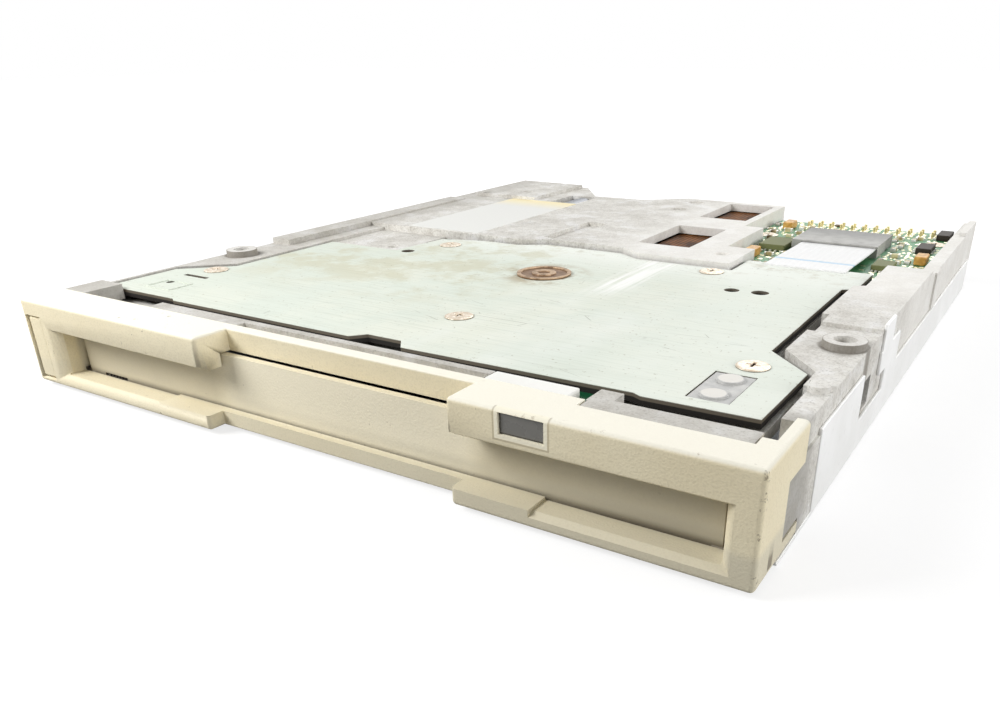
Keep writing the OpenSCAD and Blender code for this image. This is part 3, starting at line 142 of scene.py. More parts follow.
def seen_share(tree):
    """One where the camera looks at a surface itself, by reflection or through clear plastic."""
    path = tree.nodes.new("ShaderNodeLightPath")
    share = Shade(tree, path.outputs["Is Camera Ray"])
    for ray in ("Is Glossy Ray", "Is Transmission Ray"):
        share = share.sum("MAXIMUM", share, Shade(tree, path.outputs[ray]))
    return share


bpy.ops.object.select_all(action="DESELECT")
bpy.ops.mesh.primitive_plane_add(size=3, location=(0, 0, -0.0001))
table = bpy.context.object
table.name = "table_top"
white_table = bpy.data.materials.new("white_table")
white_table.use_nodes = True
tree = white_table.node_tree
tree.nodes.remove(tree.nodes["Principled BSDF"])
seen = seen_share(tree)
matt = seen.node("ShaderNodeBsdfDiffuse", {}, {"Color": (0.3, 0.3, 0.3, 1)})
table_spot = Shade(tree, tree.nodes.new("ShaderNodeTexCoord").outputs["Object"])
reach = seen.node("ShaderNodeVectorMath", {"operation": "LENGTH"}, {0: table_spot}, 1)
near_reach, far_reach = 0.07, 0.2
near_glow, added_glow = 0.76, 0.26
far = seen.node("ShaderNodeMapRange", {"interpolation_type": "SMOOTHSTEP"}, {
    "Value": reach, "From Min": near_reach, "From Max": far_reach})
glow = seen.node("ShaderNodeEmission", {}, {
    "Color": (1, 1, 1, 1), "Strength": (near_glow + added_glow * far) * seen})
both = seen.node("ShaderNodeAddShader", {}, {0: matt, 1: glow})
tree.links.new(both.socket, tree.nodes["Material Output"].inputs["Surface"])
table.data.materials.append(white_table)

room = bpy.data.worlds.new("white_room")
room.use_nodes = True
scene.world = room
tree = room.node_tree
seen = seen_share(tree)
room_light = 0.12
tree.nodes["Background"].inputs["Color"].default_value = (1, 1, 1, 1)
tree.links.new((room_light + (1 - room_light) * seen).socket, tree.nodes["Background"].inputs["Strength"])


def add_lamp(name, spot, target, size, power):
    lamp = bpy.data.lights.new(name, "AREA")
    lamp.shape = "RECTANGLE"
    lamp.size = size[0]
    lamp.size_y = size[1]
    lamp.energy = power
    holder = bpy.data.objects.new(name, lamp)
    scene.collection.objects.link(holder)
    holder.location = spot
    holder.rotation_euler = (Vector(target) - Vector(spot)).to_track_quat("-Z", "Y").to_euler()
    holder.visible_camera = False


add_lamp("left_lamp", (-0.15, -0.17, 0.15), (-0.04, -0.05, 0), (0.14, 0.1), 0.66)
add_lamp("rear_lamp", (0.05, 0.32, 0.26), (0.02, 0.02, 0), (0.4, 0.2), 0.94)
add_lamp("right_lamp", (0.45, -0.04, 0.12), (0.02, 0, 0), (0.3, 0.16), 1.2)


# Chassis
# The body is one die casting in a light alloy, left as cast: pale grey, cloudy and a little rough,
# with darker stains, and with brighter metal on the faces of its two mounting bosses.
def paint(red, green, blue):
    def linear(value):
        share = value / 255
        return share / 12.92 if share <= 0.04045 else ((share + 0.055) / 1.055) ** 2.4
    return (linear(red), linear(green), linear(blue), 1)


def new_finish(name):
    material = bpy.data.materials.new(name)
    material.use_nodes = True
    tree = material.node_tree
    spot = Shade(tree, tree.nodes.new("ShaderNodeTexCoord").outputs["Object"])
    return material, spot, tree.nodes["Principled BSDF"]


def link(shade, surface, name):
    shade.tree.links.new(shade.socket, surface.inputs[name])


def cloud(spot, scale, detail=3, rough=0.5, stretch=None):
    vector = spot
    if stretch:
        vector = spot.node("ShaderNodeMapping", {}, {"Vector": spot, "Scale": stretch})
    return spot.node("ShaderNodeTexNoise", {}, {
        "Vector": vector, "Scale": scale, "Detail": detail, "Roughness": rough})


def step(value, low, high):
    return value.node("ShaderNodeMapRange", {"interpolation_type": "SMOOTHSTEP"}, {
        "Value": value, "From Min": low, "From Max": high})


def axes(spot):
    """A spot's place across, along and above the drive."""
    parts = spot.node("ShaderNodeSeparateXYZ", {}, {"Vector": spot}).socket.node
    return [Shade(spot.tree, output) for output in parts.outputs]


def absolute(value):
    return value.sum("ABSOLUTE", value, 0.0)


def distance(across, along, centre):
    """How far a spot lies from a point, seen from above."""
    flat_spot = across.node("ShaderNodeCombineXYZ", {}, {"X": across, "Y": along})
    return across.node("ShaderNodeVectorMath", {"operation": "DISTANCE"}, {0: flat_spot, 1: (*centre, 0)}, 1)


def blend(share, first, second):
    return share.node("ShaderNodeMix", {"data_type": "RGBA"}, {0: share, 6: first, 7: second}, 2)


def emboss(spot, height, depth, strength=1.0):
    return spot.node("ShaderNodeBump", {}, {"Height": height, "Distance": depth, "Strength": strength})


def dress(node, material):
    solid = frame["nodes"][node]
    solid.data.materials.clear()
    solid.data.materials.append(material)


def even_shading(piece):
    """Keeps broad faces flat in shading beside their rounded edges."""
    bpy.ops.object.shade_smooth_by_angle(angle=math.radians(40))
    even = piece.modifiers.new("even", "WEIGHTED_NORMAL")
    even.keep_sharp = True
    bpy.ops.object.modifier_apply(modifier="even")


def merged_copy(node, name, material):
    """A copy of a solid with its loose triangles joined, left in edit mode and all selected."""
    bpy.ops.object.select_all(action="DESELECT")
    piece = bpy.data.objects.new(name, frame["nodes"][node].data.copy())
    scene.collection.objects.link(piece)
    piece.data.materials.clear()
    piece.data.materials.append(material)
    piece.select_set(True)
    bpy.context.view_layer.objects.active = piece
    bpy.ops.object.mode_set(mode="EDIT")
    bpy.ops.mesh.select_all(action="SELECT")
    bpy.ops.mesh.remove_doubles(threshold=0.000003)
    return piece


def soften(node, name, radius, material, body="drive", segments=2, corner=28, least=0.0):
    """A solid with its sharp edges rounded, in that solid's place."""
    piece = merged_copy(node, name, material)
    bpy.ops.mesh.dissolve_limited(angle_limit=math.radians(2))
    bpy.ops.mesh.select_all(action="DESELECT")
    bpy.ops.mesh.select_mode(type="EDGE")
    bpy.ops.mesh.edges_select_sharp(sharpness=math.radians(corner))
    bpy.ops.object.mode_set(mode="OBJECT")
    points = piece.data.vertices
    weight = piece.data.attributes.new("bevel_weight_edge", "FLOAT", "EDGE")
    for edge in piece.data.edges:
        length = (points[edge.vertices[0]].co - points[edge.vertices[1]].co).length
        weight.data[edge.index].value = 1.0 if edge.select and length >= least else 0.0
    round_off = piece.modifiers.new("round_off", "BEVEL")
    round_off.width = radius
    round_off.segments = segments
    round_off.limit_method = "WEIGHT"
    round_off.miter_outer = "MITER_ARC"
    bpy.ops.object.modifier_apply(modifier="round_off")
    even_shading(piece)
    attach(piece, body)
    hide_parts(node)
    return piece


cast_alloy, spot, surface = new_finish("cast_alloy")
broad = cloud(spot, 90, 4, 0.6)
patch = cloud(spot, 900, 4, 0.6)
fleck = cloud(spot, 3600, 3, 0.6)
stain = step(cloud(spot, 210, 5, 0.7), 0.56, 0.76)
tone = spot.node("ShaderNodeValToRGB", {"stops": [
    (0.36, paint(194, 191, 184)), (0.62, paint(225, 223, 217)), (0.5, paint(212, 209, 202))]},
    {"Fac": 0.5 * broad + 0.5 * patch})
blotch = cloud(spot, 170, 5, 0.65)
tone = blend(0.4 * step(blotch, 0.50, 0.63), tone, paint(172, 167, 157))
tone = blend(0.5 * (1 - step(blotch, 0.36, 0.49)), tone, paint(241, 241, 241))
tone = blend(0.36 * stain, tone, paint(142, 136, 126))
tone = blend(0.4 * step(fleck, 0.53, 0.66), tone, paint(140, 135, 127))
tone = blend(0.45 * (1 - step(fleck, 0.34, 0.47)), tone, paint(238, 237, 233))
side, along = axes(spot)[:2]
# Painted light: shade on the left rail, on the front bar under the bezel and on the right end by the front, and a
# highlight on the rear right of the deck.
left_rail_shade = 1 - step(side, -0.0460, -0.0400)
rear_right_highlight = step(along, -0.014, 0.002) * step(side, -0.004, 0.010)
front_bar_shade = 1 - step(along, -0.0500, -0.0475)
right_end_shade = (1 - step(along, -0.0480, -0.0455)) * step(side, 0.0470, 0.0490)
tone = blend(0.4 * left_rail_shade, tone, paint(164, 160, 152))
tone = blend(0.6 * rear_right_highlight, tone, paint(242, 240, 235))
tone = blend(0.32 * front_bar_shade, tone, paint(150, 146, 138))
tone = blend(0.5 * right_end_shade, tone, paint(132, 128, 120))
mm = 0.001
bosses = next(mount for mount in frame["record"]["mounts"] if mount["name"] == "top_bosses")
boss_spot = (bosses["dims"]["spacing_x_mm"] / 2 * mm, bosses["pos_m"][1])
boss_r = 0.0024
off_ring = distance(absolute(side), along, boss_spot) - boss_r
# Painted shade in the corner round the foot of each boss.
boss_foot_shade = step(off_ring, -0.00012, 0) * (1 - step(off_ring, 0.00022, 0.0006))
boss_face = 1 - step(off_ring, -0.00018, -0.00008)
tone = blend(0.7 * boss_foot_shade, tone, paint(104, 96, 84))
tone = blend(0.45 * boss_face, tone, paint(232, 230, 225))
link(tone, surface, "Base Color")
link(0.55 + 0.22 * patch + 0.1 * stain, surface, "Roughness")
surface.inputs["Metallic"].default_value = 0.1
surface.inputs["Specular IOR Level"].default_value = 0.3
link(emboss(spot, 0.6 * fleck + 0.6 * patch, 0.00005, 0.7), surface, "Normal")
soften("chassis", "cast_body", 0.00022, cast_alloy)

# Cover
# A pressed tray of thin plated steel, folded up at both sides, closes the drive underneath.
# It is bright, with faint rub marks across its width.
plated_steel, spot, surface = new_finish("plated_steel")
sheen = cloud(spot, 90, 3)
rub = cloud(spot, 1, 4, 0.6, (60, 900, 900))
tone = blend(step(sheen, 0.35, 0.7), paint(236, 236, 234), paint(246, 246, 245))
link(blend(0.35 * step(rub, 0.55, 0.8), tone, paint(206, 204, 200)), surface, "Base Color")
link(0.34 + 0.25 * rub, surface, "Roughness")
surface.inputs["Metallic"].default_value = 0.25
link(emboss(spot, rub, 0.00002, 0.4), surface, "Normal")
soften("cover", "folded_cover", 0.00012, plated_steel)

# Loading mechanism
# The slide and the disk holder are stamped from bright sheet steel; the guide pins are turned
# and pressed into the holder, and the springs are wound from hard drawn wire.
bright_steel, spot, surface = new_finish("bright_steel")
roll_lines = cloud(spot, 1, 4, 0.6, (120, 2400, 2400))
tint = cloud(spot, 170, 3)
tone = blend(step(tint, 0.3, 0.7), paint(176, 178, 180), paint(204, 205, 206))
link(blend(0.4 * step(roll_lines, 0.5, 0.75), tone, paint(150, 150, 152)), surface, "Base Color")
link(0.24 + 0.28 * roll_lines, surface, "Roughness")
surface.inputs["Metallic"].default_value = 0.85
link(emboss(spot, roll_lines, 0.00001, 0.5), surface, "Normal")
for node in ("eject_slide", "disk_holder", "holder_pins", "lever_rivet", "arm_pivot_pin", "guide_rods",
             "rod_clamps", "stepper_bracket", "spindle_shaft", "rotor_yoke", "drive_pin"):
    dress(node, bright_steel)

drawn_wire, spot, surface = new_finish("drawn_wire")
pull = cloud(spot, 2600, 3)
link(blend(pull, paint(120, 120, 122), paint(186, 186, 188)), surface, "Base Color")
link(0.28 + 0.2 * pull, surface, "Roughness")
surface.inputs["Metallic"].default_value = 0.9
for node in ("lever_spring", "arm_spring"):
    dress(node, drawn_wire)

oiled_wire, spot, surface = new_finish("oiled_wire")
film = cloud(spot, 2600, 3)
link(blend(film, paint(34, 30, 26), paint(62, 54, 46)), surface, "Base Color")
link(0.45 + 0.2 * film, surface, "Roughness")
surface.inputs["Metallic"].default_value = 0.3
dress("flap_spring", oiled_wire)

coil = merged_copy("eject_spring", "return_coil", drawn_wire)
bpy.ops.object.mode_set(mode="OBJECT")
bpy.ops.object.shade_smooth_by_angle(angle=math.radians(70))
joints = {joint["name"]: joint for joint in frame["joints"]}
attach(coil, "drive")
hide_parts("eject_spring")
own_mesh(coil)

# Shutter lever and head carriage
# Black glass-filled plastic mouldings with a faint grey bloom. The lever is riveted to the disk
# holder, the carriage runs on the guide rods, and the sensors and switches sit beside them.
black_moulding, spot, surface = new_finish("black_moulding")
bloom = cloud(spot, 380, 4, 0.6)
fibre = cloud(spot, 5200, 2)
link(blend(step(bloom, 0.4, 0.75), paint(30, 30, 32), paint(56, 56, 58)), surface, "Base Color")
link(0.4 + 0.25 * bloom, surface, "Roughness")
link(emboss(spot, fibre, 0.00001, 0.6), surface, "Normal")
for node in ("shutter_lever", "head_carriage", "head_arm", "disk_switch", "index_sensor",
             "track_zero_sensor"):
    dress(node, black_moulding)

# Spindle motor
# A flat motor: laminated core with copper coils on the plate, and a steel cup with a ferrite ring
# that carries the hub plate.
lamination, spot, surface = new_finish("lamination")
layers = cloud(spot, 1, 2, 0.5, (200, 200, 9000))
link(blend(layers, paint(96, 98, 102), paint(150, 152, 156)), surface, "Base Color")
link(0.35 + 0.2 * layers, surface, "Roughness")
surface.inputs["Metallic"].default_value = 0.8
for node in ("stator_core", "stepper_motor"):
    dress(node, lamination)

motor_wire, spot, surface = new_finish("motor_wire")
turns = cloud(spot, 1, 2, 0.4, (700, 700, 7000))
link(blend(step(turns, 0.35, 0.65), paint(120, 62, 30), paint(196, 120, 66)), surface, "Base Color")
link(0.3 + 0.2 * turns, surface, "Roughness")
surface.inputs["Metallic"].default_value = 0.6
link(emboss(spot, turns, 0.00004), surface, "Normal")
dress("stator_coils", motor_wire)

ferrite, spot, surface = new_finish("ferrite")
dust = cloud(spot, 1500, 4)
link(blend(dust, paint(34, 33, 33), paint(70, 68, 67)), surface, "Base Color")
link(0.55 + 0.25 * dust, surface, "Roughness")
dress("rotor_magnet", ferrite)

grey_moulding, spot, surface = new_finish("grey_moulding")
bloom = cloud(spot, 420, 4, 0.6)
pebble = cloud(spot, 4200, 2)
link(blend(step(bloom, 0.35, 0.7), paint(146, 146, 147), paint(176, 176, 175)), surface, "Base Color")
link(0.42 + 0.25 * bloom, surface, "Roughness")
link(emboss(spot, pebble, 0.00001, 0.6), surface, "Normal")
for node in ("disk_chuck", "side_zero_head", "side_one_head"):
    dress(node, grey_moulding)

# Motor plate
# A steel circuit board in pale mint lacquer, brushed across, with hair scratches, faint stains,
# pale patches and a smear painted near-white as glare; flush screws, a bronze bush and a grey
# switch block sit in it.
plate_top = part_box("motor_plate")[1][2]
bush_spot = joints["spindle_spin"]["pos_m"][:2]
mint_lacquer, spot, surface = new_finish("mint_lacquer")
brush = cloud(spot, 1, 5, 0.7, (110, 3200, 300))
soil = cloud(spot, 70, 5, 0.65)
speck = cloud(spot, 1900, 3, 0.6)
side, along, height = axes(spot)
streak = cloud(spot, 1, 3, 0.6, (1500, 60, 1))
# A smear on the right of the plate, painted near-white as a glare reflection.
glare_smear = step(side, 0.0100, 0.0124) * (1 - step(side, 0.0142, 0.0176))
glare_smear = glare_smear * step(along, -0.022, -0.012) * (1 - step(along, 0.002, 0.008)) * step(streak, 0.38, 0.6)
pale = step(cloud(spot, 46, 3, 0.5, (1.4, 0.6, 1)), 0.56, 0.74)
hair = spot.node("ShaderNodeTexVoronoi", {"feature": "DISTANCE_TO_EDGE"}, {
    "Vector": spot.node("ShaderNodeMapping", {}, {
        "Vector": spot, "Scale": (60, 330, 1), "Rotation": (0, 0, 0.35)}), "Scale": 1.0})
scratch = (1 - step(hair, 0.0, 0.008)) * step(cloud(spot, 160, 2), 0.54, 0.64)
tone = blend(step(soil, 0.35, 0.7), paint(219, 226, 215), paint(228, 231, 218))
tone = blend(0.45 * step(brush, 0.44, 0.7), tone, paint(196, 203, 189))
tone = blend(0.4 * pale, tone, paint(240, 243, 238))
# Painted light: a highlight over the rear and right of the plate, shade over its left.
plate_rear_highlight = step(along, -0.010, 0.006)
plate_left_shade = 1 - step(side, -0.045, -0.008)
plate_right_highlight = step(side, 0.020, 0.034)
tone = blend(0.85 * plate_rear_highlight, tone, paint(242, 245, 238))
tone = blend(0.45 * plate_left_shade, tone, paint(204, 210, 198))
tone = blend(0.5 * plate_right_highlight, tone, paint(236, 241, 232))
grime = step(cloud(spot, 300, 5, 0.7), 0.52, 0.7) * step(along, -0.002, 0.006)
tone = blend(0.45 * grime, tone, paint(176, 166, 140))
smear = step(cloud(spot, 130, 5, 0.65), 0.44, 0.62)
rear_left = step(along, -0.040, -0.022) * (1 - step(side, -0.006, 0.006))
tone = blend(0.55 * smear * rear_left, tone, paint(196, 192, 164))
off_bush = distance(side, along, bush_spot)
bush_grime = (1 - step(off_bush, 0.0046, 0.0078)) * step(cloud(spot, 380, 4, 0.65), 0.40, 0.60)
tone = blend(0.6 * bush_grime, tone, paint(158, 138, 104))
tone = blend(0.55 * scratch, tone, paint(136, 136, 122))
tone = blend(0.5 * step(speck, 0.63, 0.72), tone, paint(158, 152, 130))
tone = blend(0.9 * glare_smear, tone, paint(252, 252, 249))
insulation = step(height, plate_top - 0.00048, plate_top - 0.0004)
cut_edge = blend(insulation, paint(30, 27, 24), paint(104, 96, 84))
upper_face = step(height, plate_top - 0.0001, plate_top - 0.00003)
link(blend(upper_face, cut_edge, tone), surface, "Base Color")
link(0.52 + 0.25 * brush + 0.1 * soil, surface, "Roughness")
surface.inputs["Metallic"].default_value = 0.05
surface.inputs["Specular IOR Level"].default_value = 0.3
link(emboss(spot, brush - 0.6 * scratch, 0.00002, 0.5), surface, "Normal")
soften("motor_plate", "brushed_plate", 0.00006, mint_lacquer)

bezel_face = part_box("bezel")[0][1]
rib_spot = (-0.04185, bezel_face + 0.01645, plate_top)
rib_size = (0.0053, 0.0041, 1)
rib_wall = 0.0003
rib_rise = 0.00012
bpy.ops.object.select_all(action="DESELECT")
bpy.ops.mesh.primitive_plane_add(size=1, location=rib_spot)
rib = bpy.context.object
rib.name = "plate_rib"
rib.scale = rib_size
bpy.ops.object.transform_apply(location=True, rotation=True, scale=True)
bpy.ops.object.mode_set(mode="EDIT")
bpy.ops.mesh.select_all(action="SELECT")
bpy.ops.mesh.inset(thickness=rib_wall)
bpy.ops.mesh.delete(type="FACE")
bpy.ops.mesh.select_all(action="SELECT")
bpy.ops.mesh.extrude_region_move(TRANSFORM_OT_translate={"value": (0, 0, rib_rise)})
bpy.ops.mesh.select_all(action="SELECT")
bpy.ops.mesh.normals_make_consistent(inside=False)
bpy.ops.object.mode_set(mode="OBJECT")
rib.data.materials.append(mint_lacquer)
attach(rib, "drive")


def screw_finish(name, seat):
    material, spot, surface = new_finish(name)
    wear = cloud(spot, 2300, 3)
    height = axes(spot)[2]
    tone = blend(step(wear, 0.35, 0.7), paint(206, 188, 164), paint(242, 232, 216))
    # Below the seat, down in the cross recess, the dark colour is painted shade.
    link(blend(step(height, seat, seat + 0.00012), paint(58, 46, 36), tone), surface, "Base Color")
    link(0.3 + 0.22 * wear, surface, "Roughness")
    surface.inputs["Metallic"].default_value = 0.35
    return material


board_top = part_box("main_board")[1][2]
head_edge = 0.00004
plate_screw_gold = screw_finish("plate_screw_gold", plate_top)
soften("plate_screws", "plate_screw_set", head_edge, plate_screw_gold)
board_screw_gold = screw_finish("board_screw_gold", board_top)
soften("board_screws", "board_screw_set", head_edge, board_screw_gold)
under_drive = -0.001
gold_screw = screw_finish("hidden_screw_gold", under_drive)
for node in ("clamp_screws", "bracket_screws"):
    dress(node, gold_screw)

bronze, spot, surface = new_finish("bronze")
bush_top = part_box("spindle_bush")[1][2]
height = axes(spot)[2]
from_bush = spot.node("ShaderNodeMapping", {}, {
    "Vector": spot, "Location": (-bush_spot[0], -bush_spot[1], 0)})
turned = spot.node("ShaderNodeTexWave", {"wave_type": "RINGS", "rings_direction": "Z"}, {
    "Vector": from_bush, "Scale": 700, "Distortion": 1.5, "Detail": 3})
tarnish = cloud(spot, 900, 4, 0.6)
tone = blend(0.3 * turned, paint(176, 148, 118), paint(206, 182, 152))
cup_floor = 1 - step(height, bush_top - 0.0002, bush_top - 0.0001)
tone = blend(cup_floor, tone, paint(122, 94, 68))
link(blend(0.7 * step(tarnish, 0.46, 0.66), tone, paint(96, 70, 48)), surface, "Base Color")
link(0.35 + 0.25 * tarnish, surface, "Roughness")
surface.inputs["Metallic"].default_value = 0.45
soften("spindle_bush", "bearing_bush", 0.00005, bronze)
dress("lead_screw", bronze)

switch_grey, spot, surface = new_finish("switch_grey")
low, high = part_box("switch_unit")
middle = ((low[0] + high[0]) / 2, (low[1] + high[1]) / 2)
side, along = axes(spot)[:2]
bloom = cloud(spot, 520, 4, 0.6)
tone = blend(step(bloom, 0.35, 0.7), paint(176, 176, 174), paint(208, 207, 203))
button_space = 0.0023
button_r = 0.0013
for offset in (-button_space, button_space):
    off_button = distance(side, along, (middle[0], middle[1] + offset))
    tone = blend(0.8 * (1 - step(off_button, button_r - 0.00015, button_r)), tone, paint(232, 228, 220))
link(tone, surface, "Base Color")
link(0.4 + 0.25 * bloom, surface, "Roughness")
link(emboss(spot, cloud(spot, 4200, 2), 0.00001, 0.6), surface, "Normal")
soften("switch_unit", "switch_block", 0.0001, switch_grey)

white_moulding, spot, surface = new_finish("white_moulding")
bloom = cloud(spot, 300, 3)
link(blend(bloom, paint(236, 235, 228), paint(248, 248, 244)), surface, "Base Color")
link(0.35 + 0.2 * bloom, surface, "Roughness")
for node in ("write_protect_plunger", "density_plunger", "disk_in_plunger", "lead_nut"):
    dress(node, white_moulding)

# Main board
# A green circuit board with tinned pads, screwed into the rear of the casting. Dark chips, amber
# capacitors, a grey flat cable socket and many small fired parts are soldered to it. The small lamp
# board behind the bezel is made in the same way, in a deeper green.
green_mask, spot, surface = new_finish("green_mask")
track = spot.node("ShaderNodeTexBrick", {"offset": 0.5}, {
    "Vector": spot, "Scale": 420, "Mortar Size": 0.016, "Brick Width": 0.8, "Row Height": 0.4,
    "Color1": (0, 0, 0, 1), "Color2": (0, 0, 0, 1), "Mortar": (1, 1, 1, 1)})
gate = step(cloud(spot, 240, 2), 0.44, 0.52)
pads = spot.node("ShaderNodeTexVoronoi", {"feature": "F1", "distance": "CHEBYCHEV"}, {
    "Vector": spot, "Scale": 620, "Randomness": 0.55})
pad = (1 - step(pads, 0.2, 0.26)) * step(cloud(spot, 300, 2), 0.46, 0.5)
tone = blend(cloud(spot, 150, 3), paint(54, 124, 80), paint(88, 154, 104))
tone = blend(0.5 * gate * track, tone, paint(140, 190, 132))
link(blend(pad, tone, paint(226, 222, 180)), surface, "Base Color")
link(0.34 - 0.1 * pad + 0.15 * cloud(spot, 900, 2), surface, "Roughness")
link(0.55 * pad, surface, "Metallic")
link(emboss(spot, pad + 0.5 * gate * track, 0.00004), surface, "Normal")
dress("main_board", green_mask)

deep_mask, spot, surface = new_finish("deep_mask")
gloss = cloud(spot, 260, 3)
via = 1 - step(spot.node("ShaderNodeTexVoronoi", {"feature": "F1"}, {
    "Vector": spot, "Scale": 520, "Randomness": 0.6}), 0.16, 0.2)
tone = blend(gloss, paint(10, 60, 36), paint(24, 96, 60))
link(blend(0.7 * via, tone, paint(150, 160, 120)), surface, "Base Color")
link(0.2 + 0.2 * gloss, surface, "Roughness")
surface.inputs["Specular IOR Level"].default_value = 0.25
dress("lamp_board", deep_mask)

chip_epoxy, spot, surface = new_finish("chip_epoxy")
sand = cloud(spot, 3600, 3)
side, along = axes(spot)[:2]
olive_right, olive_near, olive_far, blur = 0.0263, 0.0253, 0.0421, 0.0001
left_chips = 1 - step(side, olive_right - blur, olive_right + blur)
near_chips = 1 - step(along, olive_near - blur, olive_near + blur)
olive = side.sum("MAXIMUM", left_chips, near_chips)
olive = olive * (1 - step(along, olive_far - blur, olive_far + blur))
tone = blend(sand, paint(36, 31, 26), paint(62, 54, 44))
link(blend(olive, tone, paint(112, 116, 76)), surface, "Base Color")
surface.inputs["Specular IOR Level"].default_value = 0.25
link(0.5 + 0.2 * sand, surface, "Roughness")
link(emboss(spot, sand, 0.00001), surface, "Normal")
soften("board_chips", "chip_bodies", 0.00015, chip_epoxy, corner=20)
soften("interface_header", "header_block", 0.00012, chip_epoxy)

amber_case, spot, surface = new_finish("amber_case")
swirl = cloud(spot, 900, 3)
link(blend(step(swirl, 0.35, 0.65), paint(190, 138, 60), paint(226, 178, 96)), surface, "Base Color")
link(0.3 + 0.2 * swirl, surface, "Roughness")
soften("board_capacitors", "amber_capacitors", 0.0002, amber_case)

socket_grey, spot, surface = new_finish("socket_grey")
low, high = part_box("cable_connector")
along = axes(spot)[1]
bloom = cloud(spot, 420, 4, 0.6)
far_end = step(along, low[1] + 0.0012, high[1] + 0.0005)
tone = blend(far_end, paint(172, 171, 166), paint(114, 113, 110))
link(blend(0.4 * step(bloom, 0.4, 0.7), tone, paint(120, 119, 117)), surface, "Base Color")
link(0.4 + 0.25 * bloom, surface, "Roughness")
link(emboss(spot, cloud(spot, 4200, 2), 0.00001, 0.6), surface, "Normal")
soften("cable_connector", "cable_socket", 0.0002, socket_grey)

chip_part, spot, surface = new_finish("chip_part")
grain = cloud(spot, 2800, 3)
tone = spot.node("ShaderNodeValToRGB", {"stops": [
    (0.40, paint(96, 74, 46)), (0.62, paint(232, 222, 176)), (0.5, paint(196, 178, 128))]},
    {"Fac": cloud(spot, 420, 2)})
link(blend(0.35 * grain, tone, paint(120, 104, 74)), surface, "Base Color")
link(0.35 + 0.2 * grain, surface, "Roughness")

solder, spot, surface = new_finish("solder")
flux = cloud(spot, 1600, 3)
link(blend(step(flux, 0.35, 0.7), paint(252, 250, 226), paint(222, 214, 168)), surface, "Base Color")
link(0.2 + 0.3 * flux, surface, "Roughness")
surface.inputs["Metallic"].default_value = 0.5

tinned_lead, spot, surface = new_finish("tinned_lead")
tin = cloud(spot, 3000, 3)
link(blend(tin, paint(196, 196, 192), paint(236, 236, 230)), surface, "Base Color")
link(0.25 + 0.2 * tin, surface, "Roughness")
surface.inputs["Metallic"].default_value = 0.6


def part_block(inset, rise):
    """A block one unit wide whose upper face is drawn in, as moulded and soldered parts are."""
    bpy.ops.object.select_all(action="DESELECT")
    bpy.ops.mesh.primitive_cube_add(size=1, location=(0, 0, (1 - rise) / 2))
    block = bpy.context.object
    block.scale = (1, 1, 1 - rise)
    bpy.ops.object.transform_apply(location=True, rotation=True, scale=True)
    bpy.ops.object.mode_set(mode="EDIT")
    bpy.ops.mesh.select_all(action="DESELECT")
    bpy.ops.mesh.select_mode(type="FACE")
    bpy.ops.object.mode_set(mode="OBJECT")
    for face in block.data.polygons:
        face.select = face.normal.z > 0.9
    bpy.ops.object.mode_set(mode="EDIT")
    bpy.ops.mesh.inset(thickness=inset)
    bpy.ops.transform.translate(value=(0, 0, rise))
    bpy.ops.object.mode_set(mode="OBJECT")
    return block


def board_block(model, across, along, rise):
    """A block on the board, in millimetres from the bezel's middle and face."""
    piece = bpy.data.objects.new("board_part", model.data.copy())
    scene.collection.objects.link(piece)
    middle = ((across[0] + across[1]) / 2 * mm, (along[0] + along[1]) / 2 * mm + bezel_face, board_top)
    spans = ((across[1] - across[0]) * mm, (along[1] - along[0]) * mm, rise * mm)
    piece.data.transform(Matrix.Translation(middle) @ Matrix.Diagonal((*spans, 1)))
    return piece


def gather(name, pieces, material):
    bpy.ops.object.select_all(action="DESELECT")
    for piece in pieces:
        piece.select_set(True)
    bpy.context.view_layer.objects.active = pieces[0]
    bpy.ops.object.join()
    group = bpy.context.object
    group.name = name
    group.data.materials.clear()
    group.data.materials.append(material)
    bpy.ops.object.shade_smooth_by_angle(angle=math.radians(40))
    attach(group, "drive")


# Places already filled on the board: left, right, near and far sides in millimetres
taken = [
    (20.5, 25.4, 86.8, 94.2), (40.5, 44.1, 79.7, 84.8), (44.0, 47.1, 95.6, 101.4),
    (45.3, 48.2, 108.7, 114.3), (18.7, 20.9, 106.0, 110.0), (45.5, 47.7, 87.0, 91.0),
    (20.3, 22.5, 80.0, 84.0), (25.3, 40.1, 88.9, 101.4), (43.7, 48.1, 76.9, 81.1),
    (16.3, 20.3, 98.0, 102.0), (44.2, 48.1, 103.0, 107.0), (22.0, 45.8, 109.6, 113.1),
    (27.0, 39.8, 66.0, 93.0)]


def free(x, y, half_x, half_y):
    """Whether a part fits on the board, which narrows in steps towards the front."""
    near_edge, far_edge = 72.2, 115.2
    left_edge = 16.2 if y > 95 else 19.8 if y > 76.6 else 24.2
    right_edge = 43.4 if y < 76 else 47.9
    if x - half_x < left_edge or x + half_x > right_edge:
        return False
    if y - half_y < near_edge or y + half_y > far_edge:
        return False
    return not any(left - half_x < x < right + half_x and near - half_y < y < far + half_y
                   for left, right, near, far in taken)


draw = random.Random(4)


def random_place():
    """A place on the board in millimetres, drawn at random."""
    return draw.uniform(16.4, 47.8), draw.uniform(72.4, 115)


